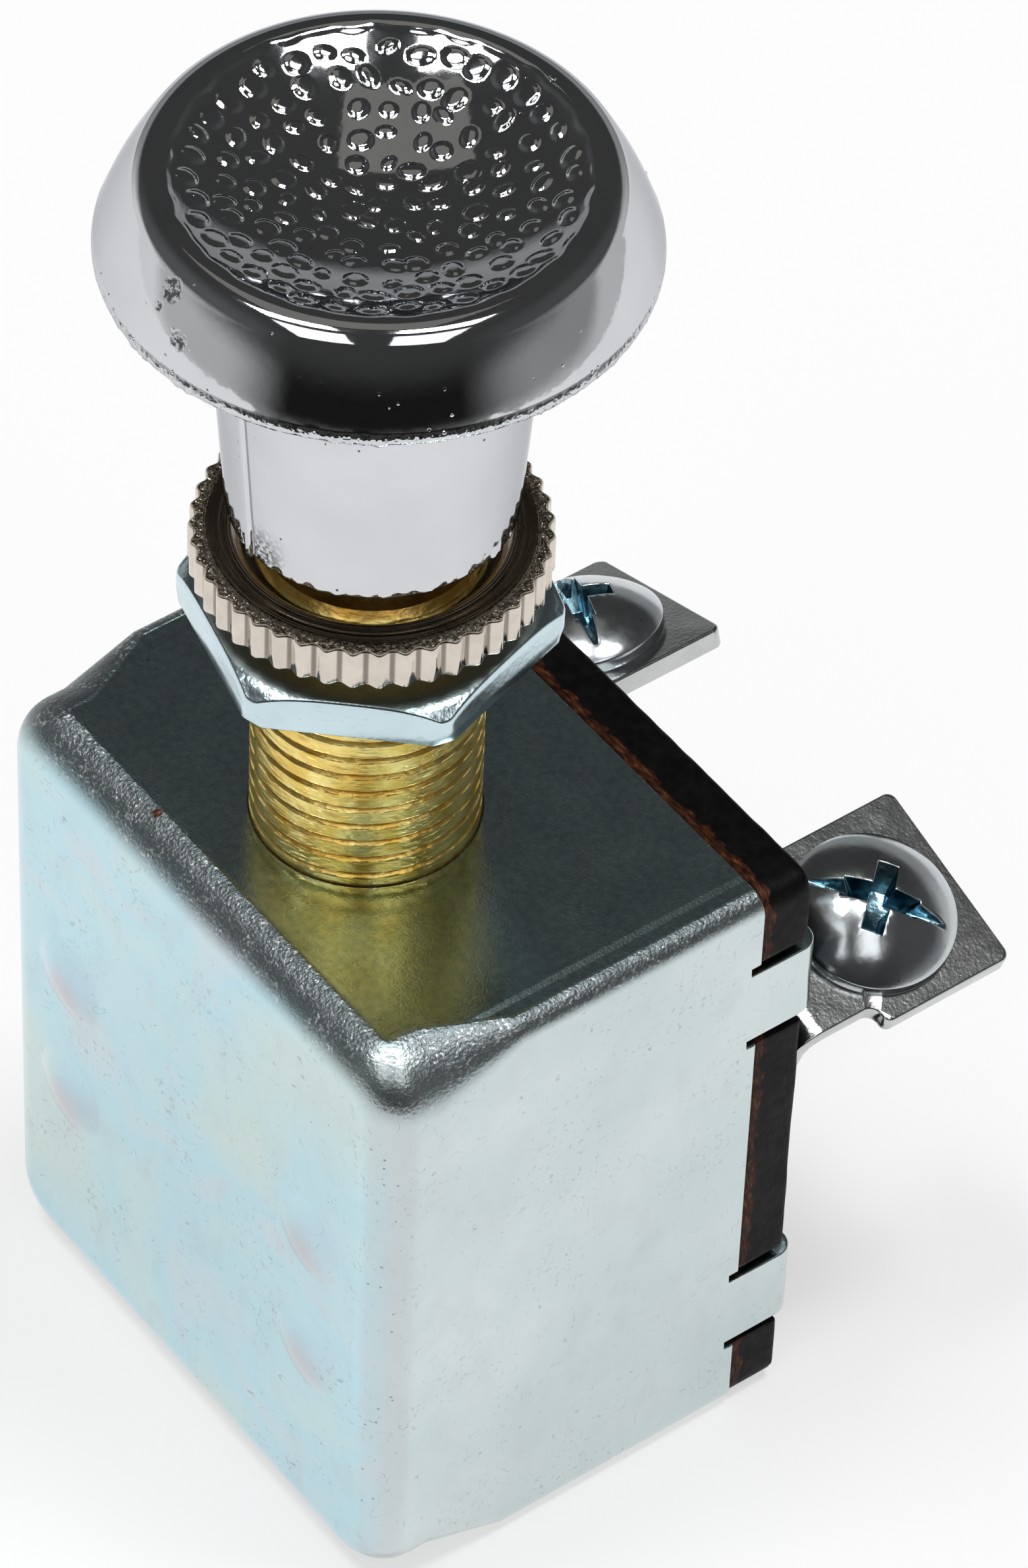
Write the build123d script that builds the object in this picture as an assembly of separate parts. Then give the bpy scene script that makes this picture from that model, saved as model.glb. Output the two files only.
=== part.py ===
"""Push-pull panel light switch with a drawn steel case, a brass bushing and two screw terminals.

+Z runs up the plunger towards the knob, -Y is the dimpled front of the case and +Y is the
terminal side.  The origin is on the plunger axis in the top face of the case.  Millimetres.
The plunger is drawn pushed in, which is the off position.
"""
import os
from math import atan2, cos, pi, radians, sin, sqrt, tan

from build123d import *

# Case: a drawn cup, open at the back
CASE_HALF_WIDTH = 18.4
CASE_FRONT = 11.75
CASE_RIM = 13.4
CASE_HEIGHT = 42.6
WALL = 0.9
FRONT_CORNER = 4.0
RIM_CORNER = 1.3
FRONT_ROUND = 2.8
STRAIGHT_RUN = 4.0
TIGHTEN_RUN = 5.0
DIMPLE_INSET = 6.8
DIMPLE_TOP = 17.6
DIMPLE_RADIUS = 2.9
DIMPLE_HEIGHT = 0.55
DIMPLE_BLEND = 0.8

# Folded tabs that hold the terminal board
TAB_WIDTH = 5.3
TAB_SPACING = 25.8
TAB_LAP = 3.4
TAB_NICK = 0.6
NICK_DEPTH = 0.65

# Terminal board
BOARD_THICK = 3.3
BOARD_INSET = 0.1
FOLD_CLEAR = 0.3

# Plunger travel and stops
TRAVEL = 9.5
STOP_GAP = 0.2

# Bushing with a half-inch thread
THREAD_RADIUS = 6.35
THREAD_PITCH = 1.27
THREAD_DEPTH = 0.4
THREAD_LAND = 0.5
THREAD_FIT = 0.05
BUSHING_SINK = 0.6
BUSHING_CHAMFER = 0.5
FLANGE_WIDTH = 2.05
FLANGE_THICK = 1.2
FLANGE_CHAMFER = 0.3
SEAT_CLEAR = 0.03
RUNNING_CLEAR = 0.08

# Hexagon nut and round face nut
HEX_BOTTOM = 14.35
HEX_THICK = 2.55
HEX_FLATS = 18.25
HEX_TURN = 46.7
HEX_CHAMFER = 26.0
HEX_LAND = 0.35
NUT_GAP = 1.8
FACE_THICK = 2.5
FACE_RADIUS = 9.7
TEETH = 43
TOOTH_DEPTH = 0.32
TOOTH_LAND = 0.12
RECESS_WIDTH = 0.65
RECESS_DEPTH = 1.2
RECESS_CHAMFER = 0.45

# Knob
STEM_GAP = 2.2
STEM_END_RADIUS = 7.8
STEM_TOP_RADIUS = 9.0
STEM_BLEND = 1.0
HEAD_RADIUS = 14.6
HEAD_HEIGHT = 5.6
EDGE_ROUND = 0.55
CREST_RADIUS = 11.3
KNOB_HEIGHT = 23.1
CREST_ROUND = 1.6
DISH_SLOPE = 27.0
FLANK_BULGE = 0.12
RIB_WIDTH = 0.4
RIB_PROUD = 0.22
SOCKET_DEPTH = 13.6

# Shaft
SHAFT_RADIUS = 3.175
SHAFT_CHAMFER = 0.5
COLLAR_RADIUS = 4.8
TAIL_RADIUS = 2.4
SOCKET_FIT = 0.03
SOCKET_END_GAP = 0.5

# Slider, balls, springs and moving contact
SLIDER_RISE = 4.8
SLIDER_SIDE_GAP = 0.4
SLIDER_FRONT_GAP = 2.1
SLIDER_BACK_GAP = 0.5
SLIDER_CORNER = 5.4
SLIDER_CHAMFER = 2.0
BALL_RADIUS = 3.0
BALL_FIT = 0.12
BALL_WALL_GAP = 0.06
WIRE_RADIUS = 0.4
SPRING_COIL = 2.25
SPRING_TURNS = 7
SPRING_CLEAR = 0.02
BRIDGE_END_GAP = 2.1
BRIDGE_HEIGHT = 7.0
BRIDGE_THICK = 1.2
BRIDGE_CORNER = 1.5
BRIDGE_FIT = 0.15
CONTACT_GAP = 0.05
POCKET_ROOM = 0.4
POCKET_DEPTH = 2.4
WASHER_RADIUS = 4.8
WASHER_THICK = 0.8
RIVETED_RADIUS = 3.6
RIVETED_HEIGHT = 1.1
RIVETED_TAPER = 0.9

# Terminals, fanned out about their rivets, with binding screws and contact rivets
STRIP_THICK = 1.25
PAD_WIDTH = 11.9
PAD_REACH = 14.4
PAD_CORNER = 0.6
SHOULDER = 1.3
NECK_LENGTH = 5.6
NECK_BLEND = 0.7
SHOULDER_FLAT = 0.1
BEND_INNER = 0.8
FOOT_LENGTH = 11.0
FOOT_CORNER = 2.5
FAN_ANGLE = 18.4
PAD_INSET = 4.9
PAD_CENTRE_DROP = 13.05
SCREW_FROM_END = 5.8
SCREW_RADIUS = 2.05
SCREW_LENGTH = 7.5
HEAD_SCREW_RADIUS = 4.9
HEAD_EDGE = 0.7
HEAD_DOME = 2.0
SLOT_WIDTH = 1.15
SLOT_DEPTH = 1.3
SLOT_FLOOR = 0.25
CROSS_REACH = 2.5
CROSS_WIDTH = 1.3
CROSS_DEPTH = 2.1
CROSS_NARROWING = 0.7
SLOT_TURNS = {"left": -20.0, "right": 41.6}
RIVET_DROP = 7.0
RIVET_RADIUS = 1.6
RIVET_HEAD = 2.9
RIVET_SINK = 1.3
RIVET_DOME = 1.2
RIVET_CROWN = 1.3
RIVET_SHOULDER = 2.4
RIVET_SHOULDER_RISE = 0.9

# Places that follow from the sizes above
CASE_MIDDLE = -CASE_HEIGHT / 2
INNER_HALF = CASE_HALF_WIDTH - WALL
DIMPLE_X = CASE_HALF_WIDTH - DIMPLE_INSET
PAD_CENTRE_X = CASE_HALF_WIDTH - PAD_INSET
BRIDGE_HALF = INNER_HALF - BRIDGE_END_GAP
INNER_FRONT = -CASE_FRONT + WALL
INNER_BOTTOM = -CASE_HEIGHT + WALL
BOARD_BACK = CASE_RIM + BOARD_THICK
FLANGE_RADIUS = THREAD_RADIUS + FLANGE_WIDTH
FLANGE_BOTTOM = -WALL - FLANGE_THICK
HEX_TOP = HEX_BOTTOM + HEX_THICK
FACE_BOTTOM = HEX_TOP + NUT_GAP
FACE_TOP = FACE_BOTTOM + FACE_THICK
RECESS_RADIUS = THREAD_RADIUS + RECESS_WIDTH
BUSHING_TOP = FACE_TOP - BUSHING_SINK
STEM_END = FACE_TOP + STEM_GAP
CREST_TOP = STEM_END + KNOB_HEIGHT
UNDERSIDE = CREST_TOP - HEAD_HEIGHT
KNOB_SOCKET = STEM_END + SOCKET_DEPTH
SHAFT_TOP = KNOB_SOCKET - SOCKET_END_GAP
SLIDER_BOTTOM = INNER_BOTTOM + STOP_GAP
BALL_Z = -(DIMPLE_TOP + TRAVEL)
BALL_Y = INNER_FRONT + BALL_WALL_GAP + BALL_RADIUS
SLIDER_TOP = BALL_Z + SLIDER_RISE
POCKET_RADIUS = WASHER_RADIUS + POCKET_ROOM
SHOULDER_CORNER = SHOULDER - NECK_BLEND - SHOULDER_FLAT
SIDES = {"left": -1, "right": 1}


def across(y, z=0.0):
    """A plane square to Y, with its own x along X and its own y along Z."""
    return Plane(origin=(0, y, z), x_dir=(1, 0, 0), z_dir=(0, -1, 0))


def turned(points):
    """A solid of revolution about the plunger axis from radius and height pairs."""
    outline = Polyline(*[(r, 0, z) for r, z in points], close=True)
    return revolve(make_face(outline), Axis.Z)


def cup(half_width, height, front, back, front_corner, back_corner, rounding):
    """The drawn shape: round at the front, with corners that tighten to a crease soon behind it."""
    split = -CASE_FRONT + STRAIGHT_RUN
    width = 2 * half_width
    nose = extrude(across(front, CASE_MIDDLE) * RectangleRounded(width, height, front_corner), front - split)
    nose = fillet(nose.faces().sort_by(Axis.Y)[0].edges(), rounding)
    stations = ((split, front_corner), (split + TIGHTEN_RUN, back_corner), (back, back_corner))
    sections = [across(y, CASE_MIDDLE) * RectangleRounded(width, height, corner) for y, corner in stations]
    return nose + loft(sections, ruled=True)


def dimple(radius, flat, x, z):
    """The part of a shallow ball that stands proud of the plane y = flat, towards the front."""
    ball = Pos(x, -CASE_FRONT - DIMPLE_HEIGHT + DIMPLE_BALL, z) * Sphere(radius)
    keep = Pos(x, flat - radius, z) * Box(2 * radius, 2 * radius, 2 * radius)
    return ball & keep


DIMPLE_BALL = (DIMPLE_RADIUS ** 2 + DIMPLE_HEIGHT ** 2) / (2 * DIMPLE_HEIGHT)
DIMPLES = [(side * DIMPLE_X, -DIMPLE_TOP - drop) for side in SIDES.values() for drop in (0.0, TRAVEL)]
TAB_HEIGHTS = [CASE_MIDDLE + TAB_SPACING / 2, CASE_MIDDLE - TAB_SPACING / 2]


def make_case():
    height = CASE_HEIGHT
    shell = cup(CASE_HALF_WIDTH, height, -CASE_FRONT, CASE_RIM, FRONT_CORNER, RIM_CORNER, FRONT_ROUND)
    for x, z in DIMPLES:
        shell += dimple(DIMPLE_BALL, -CASE_FRONT + WALL / 2, x, z)
    rings = [e for e in shell.edges().filter_by(GeomType.CIRCLE) if abs(e.center().Y + CASE_FRONT) < 0.01]
    rings = [e for e in rings if abs(e.radius - DIMPLE_RADIUS) < 0.01]
    shell = fillet(rings, DIMPLE_BLEND)
    hollow = cup(INNER_HALF, height - 2 * WALL, INNER_FRONT, CASE_RIM, FRONT_CORNER - WALL,
                 RIM_CORNER - WALL, FRONT_ROUND - WALL)
    shell -= hollow
    for x, z in DIMPLES:
        shell -= dimple(DIMPLE_BALL - WALL, INNER_FRONT + WALL / 2, x, z)
    shell -= Pos(0, 0, -WALL) * Cylinder(THREAD_RADIUS + SEAT_CLEAR, 4 * WALL)
    wall_x = CASE_HALF_WIDTH - WALL
    strip = Polyline(
        (wall_x, CASE_RIM - NICK_DEPTH),
        (CASE_HALF_WIDTH, CASE_RIM - NICK_DEPTH),
        (CASE_HALF_WIDTH, BOARD_BACK + WALL),
        (CASE_HALF_WIDTH - TAB_LAP, BOARD_BACK + WALL),
        (CASE_HALF_WIDTH - TAB_LAP, BOARD_BACK),
        (wall_x, BOARD_BACK),
        close=True,
    )
    fold = make_face(strip)
    outside = fold.vertices().filter_by(lambda v: v.X > wall_x + 0.1 and v.Y > BOARD_BACK + 0.1)
    fold = fillet(outside, WALL + FOLD_CLEAR)
    inside = fold.vertices().filter_by(lambda v: abs(v.X - wall_x) < 0.01 and abs(v.Y - BOARD_BACK) < 0.01)
    fold = fillet(inside, FOLD_CLEAR)
    for z in TAB_HEIGHTS:
        tab = Pos(0, 0, z - TAB_WIDTH / 2) * extrude(fold, TAB_WIDTH)
        notch = Pos(CASE_HALF_WIDTH, CASE_RIM, z) * Box(4 * WALL, 2 * NICK_DEPTH, TAB_WIDTH + 2 * TAB_NICK)
        shell -= notch
        shell -= mirror(notch, Plane.YZ)
        shell += tab
        shell += mirror(tab, Plane.YZ)
    return shell


def thread_groove():
    """A right-hand V groove that starts in the hole of the case and runs out inside the face nut."""
    start = -WALL / 3
    path = Helix(THREAD_PITCH, BUSHING_TOP - THREAD_PITCH - start, THREAD_RADIUS, center=(0, 0, start))
    half = THREAD_PITCH * (1 - THREAD_LAND) / 2
    section = Polyline(
        (-THREAD_DEPTH, 0),
        (THREAD_DEPTH / 2, -1.5 * half),
        (THREAD_DEPTH / 2, 1.5 * half),
        close=True,
    )
    return sweep(Plane(path @ 0, x_dir=(1, 0, 0), z_dir=path % 0) * make_face(section), path, is_frenet=True)


def make_bushing():
    """Threaded from the flange up; the flange sits inside the case."""
    bore = SHAFT_RADIUS + RUNNING_CLEAR
    blank = turned([
        (bore, FLANGE_BOTTOM),
        (FLANGE_RADIUS - FLANGE_CHAMFER, FLANGE_BOTTOM),
        (FLANGE_RADIUS, FLANGE_BOTTOM + FLANGE_CHAMFER),
        (FLANGE_RADIUS, -WALL),
        (THREAD_RADIUS, -WALL),
        (THREAD_RADIUS, BUSHING_TOP - BUSHING_CHAMFER),
        (THREAD_RADIUS - BUSHING_CHAMFER, BUSHING_TOP),
        (bore, BUSHING_TOP),
    ])
    return blank - thread_groove()


def make_hex_nut():
    blank = extrude(Pos(0, 0, HEX_BOTTOM) * RegularPolygon(HEX_FLATS / 2, 6, False, rotation=HEX_TURN), HEX_THICK)
    rim = HEX_FLATS / 2 - HEX_LAND
    reach = 0.3 * HEX_FLATS
    drop = reach * tan(radians(HEX_CHAMFER))
    blank &= turned([
        (0, HEX_BOTTOM - 1),
        (rim + reach, HEX_BOTTOM - 1),
        (rim + reach, HEX_TOP - drop),
        (rim, HEX_TOP),
        (0, HEX_TOP),
    ])
    return blank - Pos(0, 0, HEX_BOTTOM) * Cylinder(THREAD_RADIUS + THREAD_FIT, 4 * HEX_THICK)


def make_face_nut():
    step = 2 * pi / TEETH
    points = []
    for i in range(TEETH):
        for shift, radius in ((-0.5, FACE_RADIUS - TOOTH_DEPTH),
                              (-0.5 * TOOTH_LAND, FACE_RADIUS),
                              (0.5 * TOOTH_LAND, FACE_RADIUS)):
            angle = (i + shift) * step
            points.append((radius * cos(angle), radius * sin(angle)))
    nut = extrude(Pos(0, 0, FACE_BOTTOM) * make_face(Polyline(*points, close=True)), FACE_THICK)
    bore = THREAD_RADIUS + THREAD_FIT
    floor = FACE_TOP - RECESS_DEPTH
    return nut - turned([
        (0, FACE_BOTTOM - 1),
        (bore, FACE_BOTTOM - 1),
        (bore, floor),
        (RECESS_RADIUS, floor),
        (RECESS_RADIUS, FACE_TOP - RECESS_CHAMFER),
        (RECESS_RADIUS + 2 * RECESS_CHAMFER, FACE_TOP + RECESS_CHAMFER),
        (0, FACE_TOP + RECESS_CHAMFER),
    ])


def make_knob():
    slope = radians(DISH_SLOPE)
    crest = (CREST_RADIUS, CREST_TOP - CREST_ROUND)
    dish_edge = (crest[0] - CREST_ROUND * sin(slope), crest[1] + CREST_ROUND * cos(slope))
    dish_ball = dish_edge[0] / sin(slope)
    dish_centre = dish_edge[1] + dish_ball * cos(slope)
    dish_mid = (dish_ball * sin(slope / 2), dish_centre - dish_ball * cos(slope / 2))
    dish_low = (0, dish_centre - dish_ball)
    lip = (HEAD_RADIUS - EDGE_ROUND, UNDERSIDE + EDGE_ROUND)
    lip_low = (lip[0], UNDERSIDE)
    lip_mid = (lip[0] + EDGE_ROUND * cos(pi / 6), lip[1] - EDGE_ROUND * sin(pi / 6))
    lean = atan2(HEAD_RADIUS - CREST_RADIUS - CREST_ROUND, crest[1] - lip[1])
    flank_low = (lip[0] + EDGE_ROUND * cos(lean), lip[1] + EDGE_ROUND * sin(lean))
    flank_high = (crest[0] + CREST_ROUND * cos(lean), crest[1] + CREST_ROUND * sin(lean))
    flank_mid = ((flank_low[0] + flank_high[0]) / 2 + FLANK_BULGE * cos(lean),
                 (flank_low[1] + flank_high[1]) / 2 + FLANK_BULGE * sin(lean))
    with BuildSketch(Plane.XZ) as half:
        with BuildLine():
            Line((0, STEM_END), (STEM_END_RADIUS, STEM_END))
            Line((STEM_END_RADIUS, STEM_END), (STEM_TOP_RADIUS, UNDERSIDE))
            Line((STEM_TOP_RADIUS, UNDERSIDE), lip_low)
            ThreePointArc(lip_low, lip_mid, flank_low)
            ThreePointArc(flank_low, flank_mid, flank_high)
            ThreePointArc(flank_high, (crest[0], CREST_TOP), dish_edge)
            ThreePointArc(dish_edge, dish_mid, dish_low)
            Line(dish_low, (0, STEM_END))
        make_face()
    knob = revolve(half.sketch, Axis.Z)
    corner = [e for e in knob.edges().filter_by(GeomType.CIRCLE)
              if abs(e.center().Z - UNDERSIDE) < 0.01 and abs(e.radius - STEM_TOP_RADIUS) < 0.01]
    knob = fillet(corner, STEM_BLEND)
    length = UNDERSIDE - STEM_BLEND - STEM_END
    taper = (STEM_TOP_RADIUS - STEM_END_RADIUS) / (UNDERSIDE - STEM_END)
    seam = Polyline(
        (0, STEM_END_RADIUS - 1, STEM_END),
        (0, STEM_END_RADIUS + RIB_PROUD, STEM_END),
        (0, STEM_END_RADIUS + RIB_PROUD + taper * length, STEM_END + length),
        (0, STEM_END_RADIUS - 1, STEM_END + length),
        close=True,
    )
    rib = extrude(make_face(seam), RIB_WIDTH / 2, both=True)
    knob += rib
    knob += mirror(rib, Plane.XZ)
    depth = KNOB_SOCKET - STEM_END
    return knob - Pos(0, 0, STEM_END + depth / 2) * Cylinder(SHAFT_RADIUS + SOCKET_FIT, depth)


def make_shaft():
    collar_top = FLANGE_BOTTOM - TRAVEL - STOP_GAP
    washer_bottom = SLIDER_BOTTOM + POCKET_DEPTH - WASHER_THICK
    return turned([
        (0, washer_bottom - RIVETED_HEIGHT),
        (RIVETED_RADIUS - RIVETED_TAPER, washer_bottom - RIVETED_HEIGHT),
        (RIVETED_RADIUS, washer_bottom),
        (TAIL_RADIUS, washer_bottom),
        (TAIL_RADIUS, SLIDER_TOP),
        (COLLAR_RADIUS, SLIDER_TOP),
        (COLLAR_RADIUS, collar_top),
        (SHAFT_RADIUS, collar_top),
        (SHAFT_RADIUS, SHAFT_TOP - SHAFT_CHAMFER),
        (SHAFT_RADIUS - SHAFT_CHAMFER, SHAFT_TOP),
        (0, SHAFT_TOP),
    ])


def make_slider():
    height = SLIDER_TOP - SLIDER_BOTTOM
    front = INNER_FRONT + SLIDER_FRONT_GAP
    back = CASE_RIM - SLIDER_BACK_GAP
    outline = RectangleRounded(2 * (INNER_HALF - SLIDER_SIDE_GAP), height, SLIDER_CORNER)
    block = extrude(across(front, SLIDER_BOTTOM + height / 2) * outline, front - back)
    block = chamfer(block.faces().sort_by(Axis.Y)[0].edges(), SLIDER_CHAMFER)
    for side in SIDES.values():
        bore = Cylinder(BALL_RADIUS + BALL_FIT, 6 * CASE_RIM, rotation=(90, 0, 0))
        block -= Pos(side * DIMPLE_X, 0, BALL_Z) * bore
    seat = CASE_RIM - CONTACT_GAP - BRIDGE_THICK
    room = Box(2 * (BRIDGE_HALF + BRIDGE_FIT), 4, BRIDGE_HEIGHT + 2 * BRIDGE_FIT)
    block -= Pos(0, seat + 2, BALL_Z) * room
    block -= Pos(0, 0, SLIDER_BOTTOM + height / 2) * Cylinder(TAIL_RADIUS + SEAT_CLEAR, 2 * height)
    return block - Pos(0, 0, SLIDER_BOTTOM) * Cylinder(POCKET_RADIUS, 2 * POCKET_DEPTH)


def make_washer():
    top = SLIDER_BOTTOM + POCKET_DEPTH
    ring = Cylinder(WASHER_RADIUS, WASHER_THICK) - Cylinder(TAIL_RADIUS + SEAT_CLEAR, 2 * WASHER_THICK)
    return Pos(0, 0, top - WASHER_THICK / 2) * ring


def make_ball(side):
    return Pos(side * DIMPLE_X, BALL_Y, BALL_Z) * Sphere(BALL_RADIUS)


def make_spring(side):
    """A coil from the back of the ball, with room for the wire, to the moving contact."""
    nearest = BALL_Y + sqrt((BALL_RADIUS + WIRE_RADIUS) ** 2 - SPRING_COIL ** 2) + SPRING_CLEAR
    farthest = CASE_RIM - CONTACT_GAP - BRIDGE_THICK - WIRE_RADIUS - SPRING_CLEAR
    length = farthest - nearest
    path = Helix(length / SPRING_TURNS, length, SPRING_COIL)
    wire = sweep(Plane(path @ 0, z_dir=path % 0) * Circle(WIRE_RADIUS), path, is_frenet=True)
    return Pos(side * DIMPLE_X, nearest, BALL_Z) * Rot(-90, 0, 0) * wire


def make_bridge():
    strip = RectangleRounded(2 * BRIDGE_HALF, BRIDGE_HEIGHT, BRIDGE_CORNER)
    return extrude(across(CASE_RIM - CONTACT_GAP, BALL_Z) * strip, BRIDGE_THICK)


def fanned(side):
    """Where a terminal stands: its bend line against the board, turned about Y."""
    return Pos(side * PAD_CENTRE_X, BOARD_BACK, -PAD_CENTRE_DROP) * Rot(0, side * FAN_ANGLE, 0)


def rivet_place(side):
    return fanned(side) * Pos(0, 0, -RIVET_DROP)


def screw_place(side):
    return fanned(side) * Pos(0, PAD_REACH - SCREW_FROM_END, 0)


def make_board():
    width = 2 * (CASE_HALF_WIDTH - BOARD_INSET)
    height = CASE_HEIGHT - 2 * BOARD_INSET
    plate = extrude(across(BOARD_BACK, CASE_MIDDLE) * RectangleRounded(width, height, RIM_CORNER), BOARD_THICK)
    for z in TAB_HEIGHTS:
        notch = Pos(CASE_HALF_WIDTH, BOARD_BACK, z) * Box(
            2 * (WALL + FOLD_CLEAR), 4 * BOARD_THICK, TAB_WIDTH + 2 * TAB_NICK)
        plate -= notch
        plate -= mirror(notch, Plane.YZ)
    for side in SIDES.values():
        plate -= rivet_place(side) * make_rivet_solid(SEAT_CLEAR)
    return plate


def make_terminal(side):
    """A strip bent once: the foot lies on the board and the screw pad stands out from it."""
    bend = BEND_INNER + STRIP_THICK
    profile = Polyline(
        (0, 0, -FOOT_LENGTH),
        (0, STRIP_THICK, -FOOT_LENGTH),
        (0, STRIP_THICK, -STRIP_THICK),
        (0, PAD_REACH, -STRIP_THICK),
        (0, PAD_REACH, 0),
        (0, 0, 0),
        close=True,
    )
    strip = extrude(make_face(profile), PAD_WIDTH / 2, both=True)
    outer = [e for e in strip.edges().filter_by(Axis.X) if abs(e.center().Y) < 0.01 and abs(e.center().Z) < 0.01]
    strip = fillet(outer, bend)
    inner = [e for e in strip.edges().filter_by(Axis.X)
             if abs(e.center().Y - STRIP_THICK) < 0.01 and abs(e.center().Z + STRIP_THICK) < 0.01]
    strip = fillet(inner, BEND_INNER)
    half_pad = PAD_WIDTH / 2
    half_neck = half_pad - SHOULDER
    right = [(half_neck, 0), (half_neck, NECK_LENGTH), (half_pad, NECK_LENGTH), (half_pad, PAD_REACH)]
    plan = make_face(Polyline(*right, *[(-x, y) for x, y in reversed(right)], close=True))
    for x, y, radius in ((half_neck, NECK_LENGTH, NECK_BLEND),
                         (half_pad, NECK_LENGTH, SHOULDER_CORNER),
                         (half_pad, PAD_REACH, PAD_CORNER)):
        corners = [v for v in plan.vertices() if abs(abs(v.X) - x) < 0.01 and abs(v.Y - y) < 0.01]
        plan = fillet(corners, radius)
    strip &= extrude(plan, 2 * FOOT_LENGTH, both=True)
    ends = [e for e in strip.edges().filter_by(Axis.Y) if abs(e.center().Z + FOOT_LENGTH) < 0.01]
    strip = fillet(ends, FOOT_CORNER)
    strip -= Pos(0, PAD_REACH - SCREW_FROM_END, 0) * Cylinder(SCREW_RADIUS + SEAT_CLEAR, 4 * STRIP_THICK)
    hole = Cylinder(RIVET_RADIUS + SEAT_CLEAR, 4 * STRIP_THICK, rotation=(90, 0, 0))
    strip -= Pos(0, 0, -RIVET_DROP) * hole
    return fanned(side) * strip


def make_rivet_solid(grow=0.0):
    """A contact rivet along Y: flush sunk head inside, shank, and a domed head on the terminal."""
    outer = STRIP_THICK
    profile = Polyline(
        (0, -BOARD_THICK, 0),
        (RIVET_HEAD + grow, -BOARD_THICK, 0),
        (RIVET_RADIUS + grow, -BOARD_THICK + RIVET_SINK + grow, 0),
        (RIVET_RADIUS + grow, outer, 0),
        (RIVET_HEAD, outer, 0),
        (RIVET_SHOULDER, outer + RIVET_SHOULDER_RISE, 0),
        (RIVET_CROWN, outer + RIVET_DOME, 0),
        (0, outer + RIVET_DOME, 0),
        close=True,
    )
    return revolve(make_face(profile), Axis.Y)


def make_rivet(side):
    return rivet_place(side) * make_rivet_solid()


def make_screw(side, name):
    rise = HEAD_EDGE + HEAD_DOME
    dome_ball = (HEAD_SCREW_RADIUS ** 2 + HEAD_DOME ** 2) / (2 * HEAD_DOME)
    head = Pos(0, 0, rise - dome_ball) * Sphere(dome_ball)
    head &= Pos(0, 0, rise / 2) * Cylinder(HEAD_SCREW_RADIUS, rise)
    screw = head + Pos(0, 0, -SCREW_LENGTH / 2) * Cylinder(SCREW_RADIUS, SCREW_LENGTH)
    slot = Polyline(
        (0, -SLOT_WIDTH / 2, rise),
        (0, SLOT_WIDTH / 2, rise),
        (0, SLOT_FLOOR / 2, rise - SLOT_DEPTH),
        (0, -SLOT_FLOOR / 2, rise - SLOT_DEPTH),
        close=True,
    )
    screw -= extrude(make_face(slot), 2 * HEAD_SCREW_RADIUS, both=True)
    wide = Pos(0, 0, rise) * Rectangle(2 * CROSS_REACH, CROSS_WIDTH)
    narrow = Pos(0, 0, rise - CROSS_DEPTH) * Rectangle(CROSS_REACH, CROSS_NARROWING * CROSS_WIDTH)
    arm = loft([narrow, wide])
    screw -= arm
    screw -= Rot(0, 0, 90) * arm
    return screw_place(side) * Rot(0, 0, SLOT_TURNS[name]) * screw


pieces = {
    "case": make_case(),
    "bushing": make_bushing(),
    "hex_nut": make_hex_nut(),
    "face_nut": make_face_nut(),
    "knob": make_knob(),
    "plunger_shaft": make_shaft(),
    "slider": make_slider(),
    "slider_washer": make_washer(),
    "contact_bridge": make_bridge(),
    "terminal_board": make_board(),
}
for name, side in SIDES.items():
    pieces["detent_ball_" + name] = make_ball(side)
    pieces["detent_spring_" + name] = make_spring(side)
    pieces["terminal_" + name] = make_terminal(side)
    pieces["terminal_rivet_" + name] = make_rivet(side)
    pieces["terminal_screw_" + name] = make_screw(side, name)

os.makedirs("parts", exist_ok=True)
for name, piece in pieces.items():
    solid = piece.solids()[0]
    solid.label = name
    export_step(solid, "parts/" + name + ".step")
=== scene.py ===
"""Looks of a push-pull panel switch: plated case, brass bushing, chromed knob, two screw terminals.

Everything is in the frame of the solids, with +Z up the plunger.  Sizes are in millimetres until a
mesh is made, and metres from there on.  Angles are in degrees.
"""
import math
import random

import bmesh
import bpy
import numpy as np
from mathutils import Matrix, Vector


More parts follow.
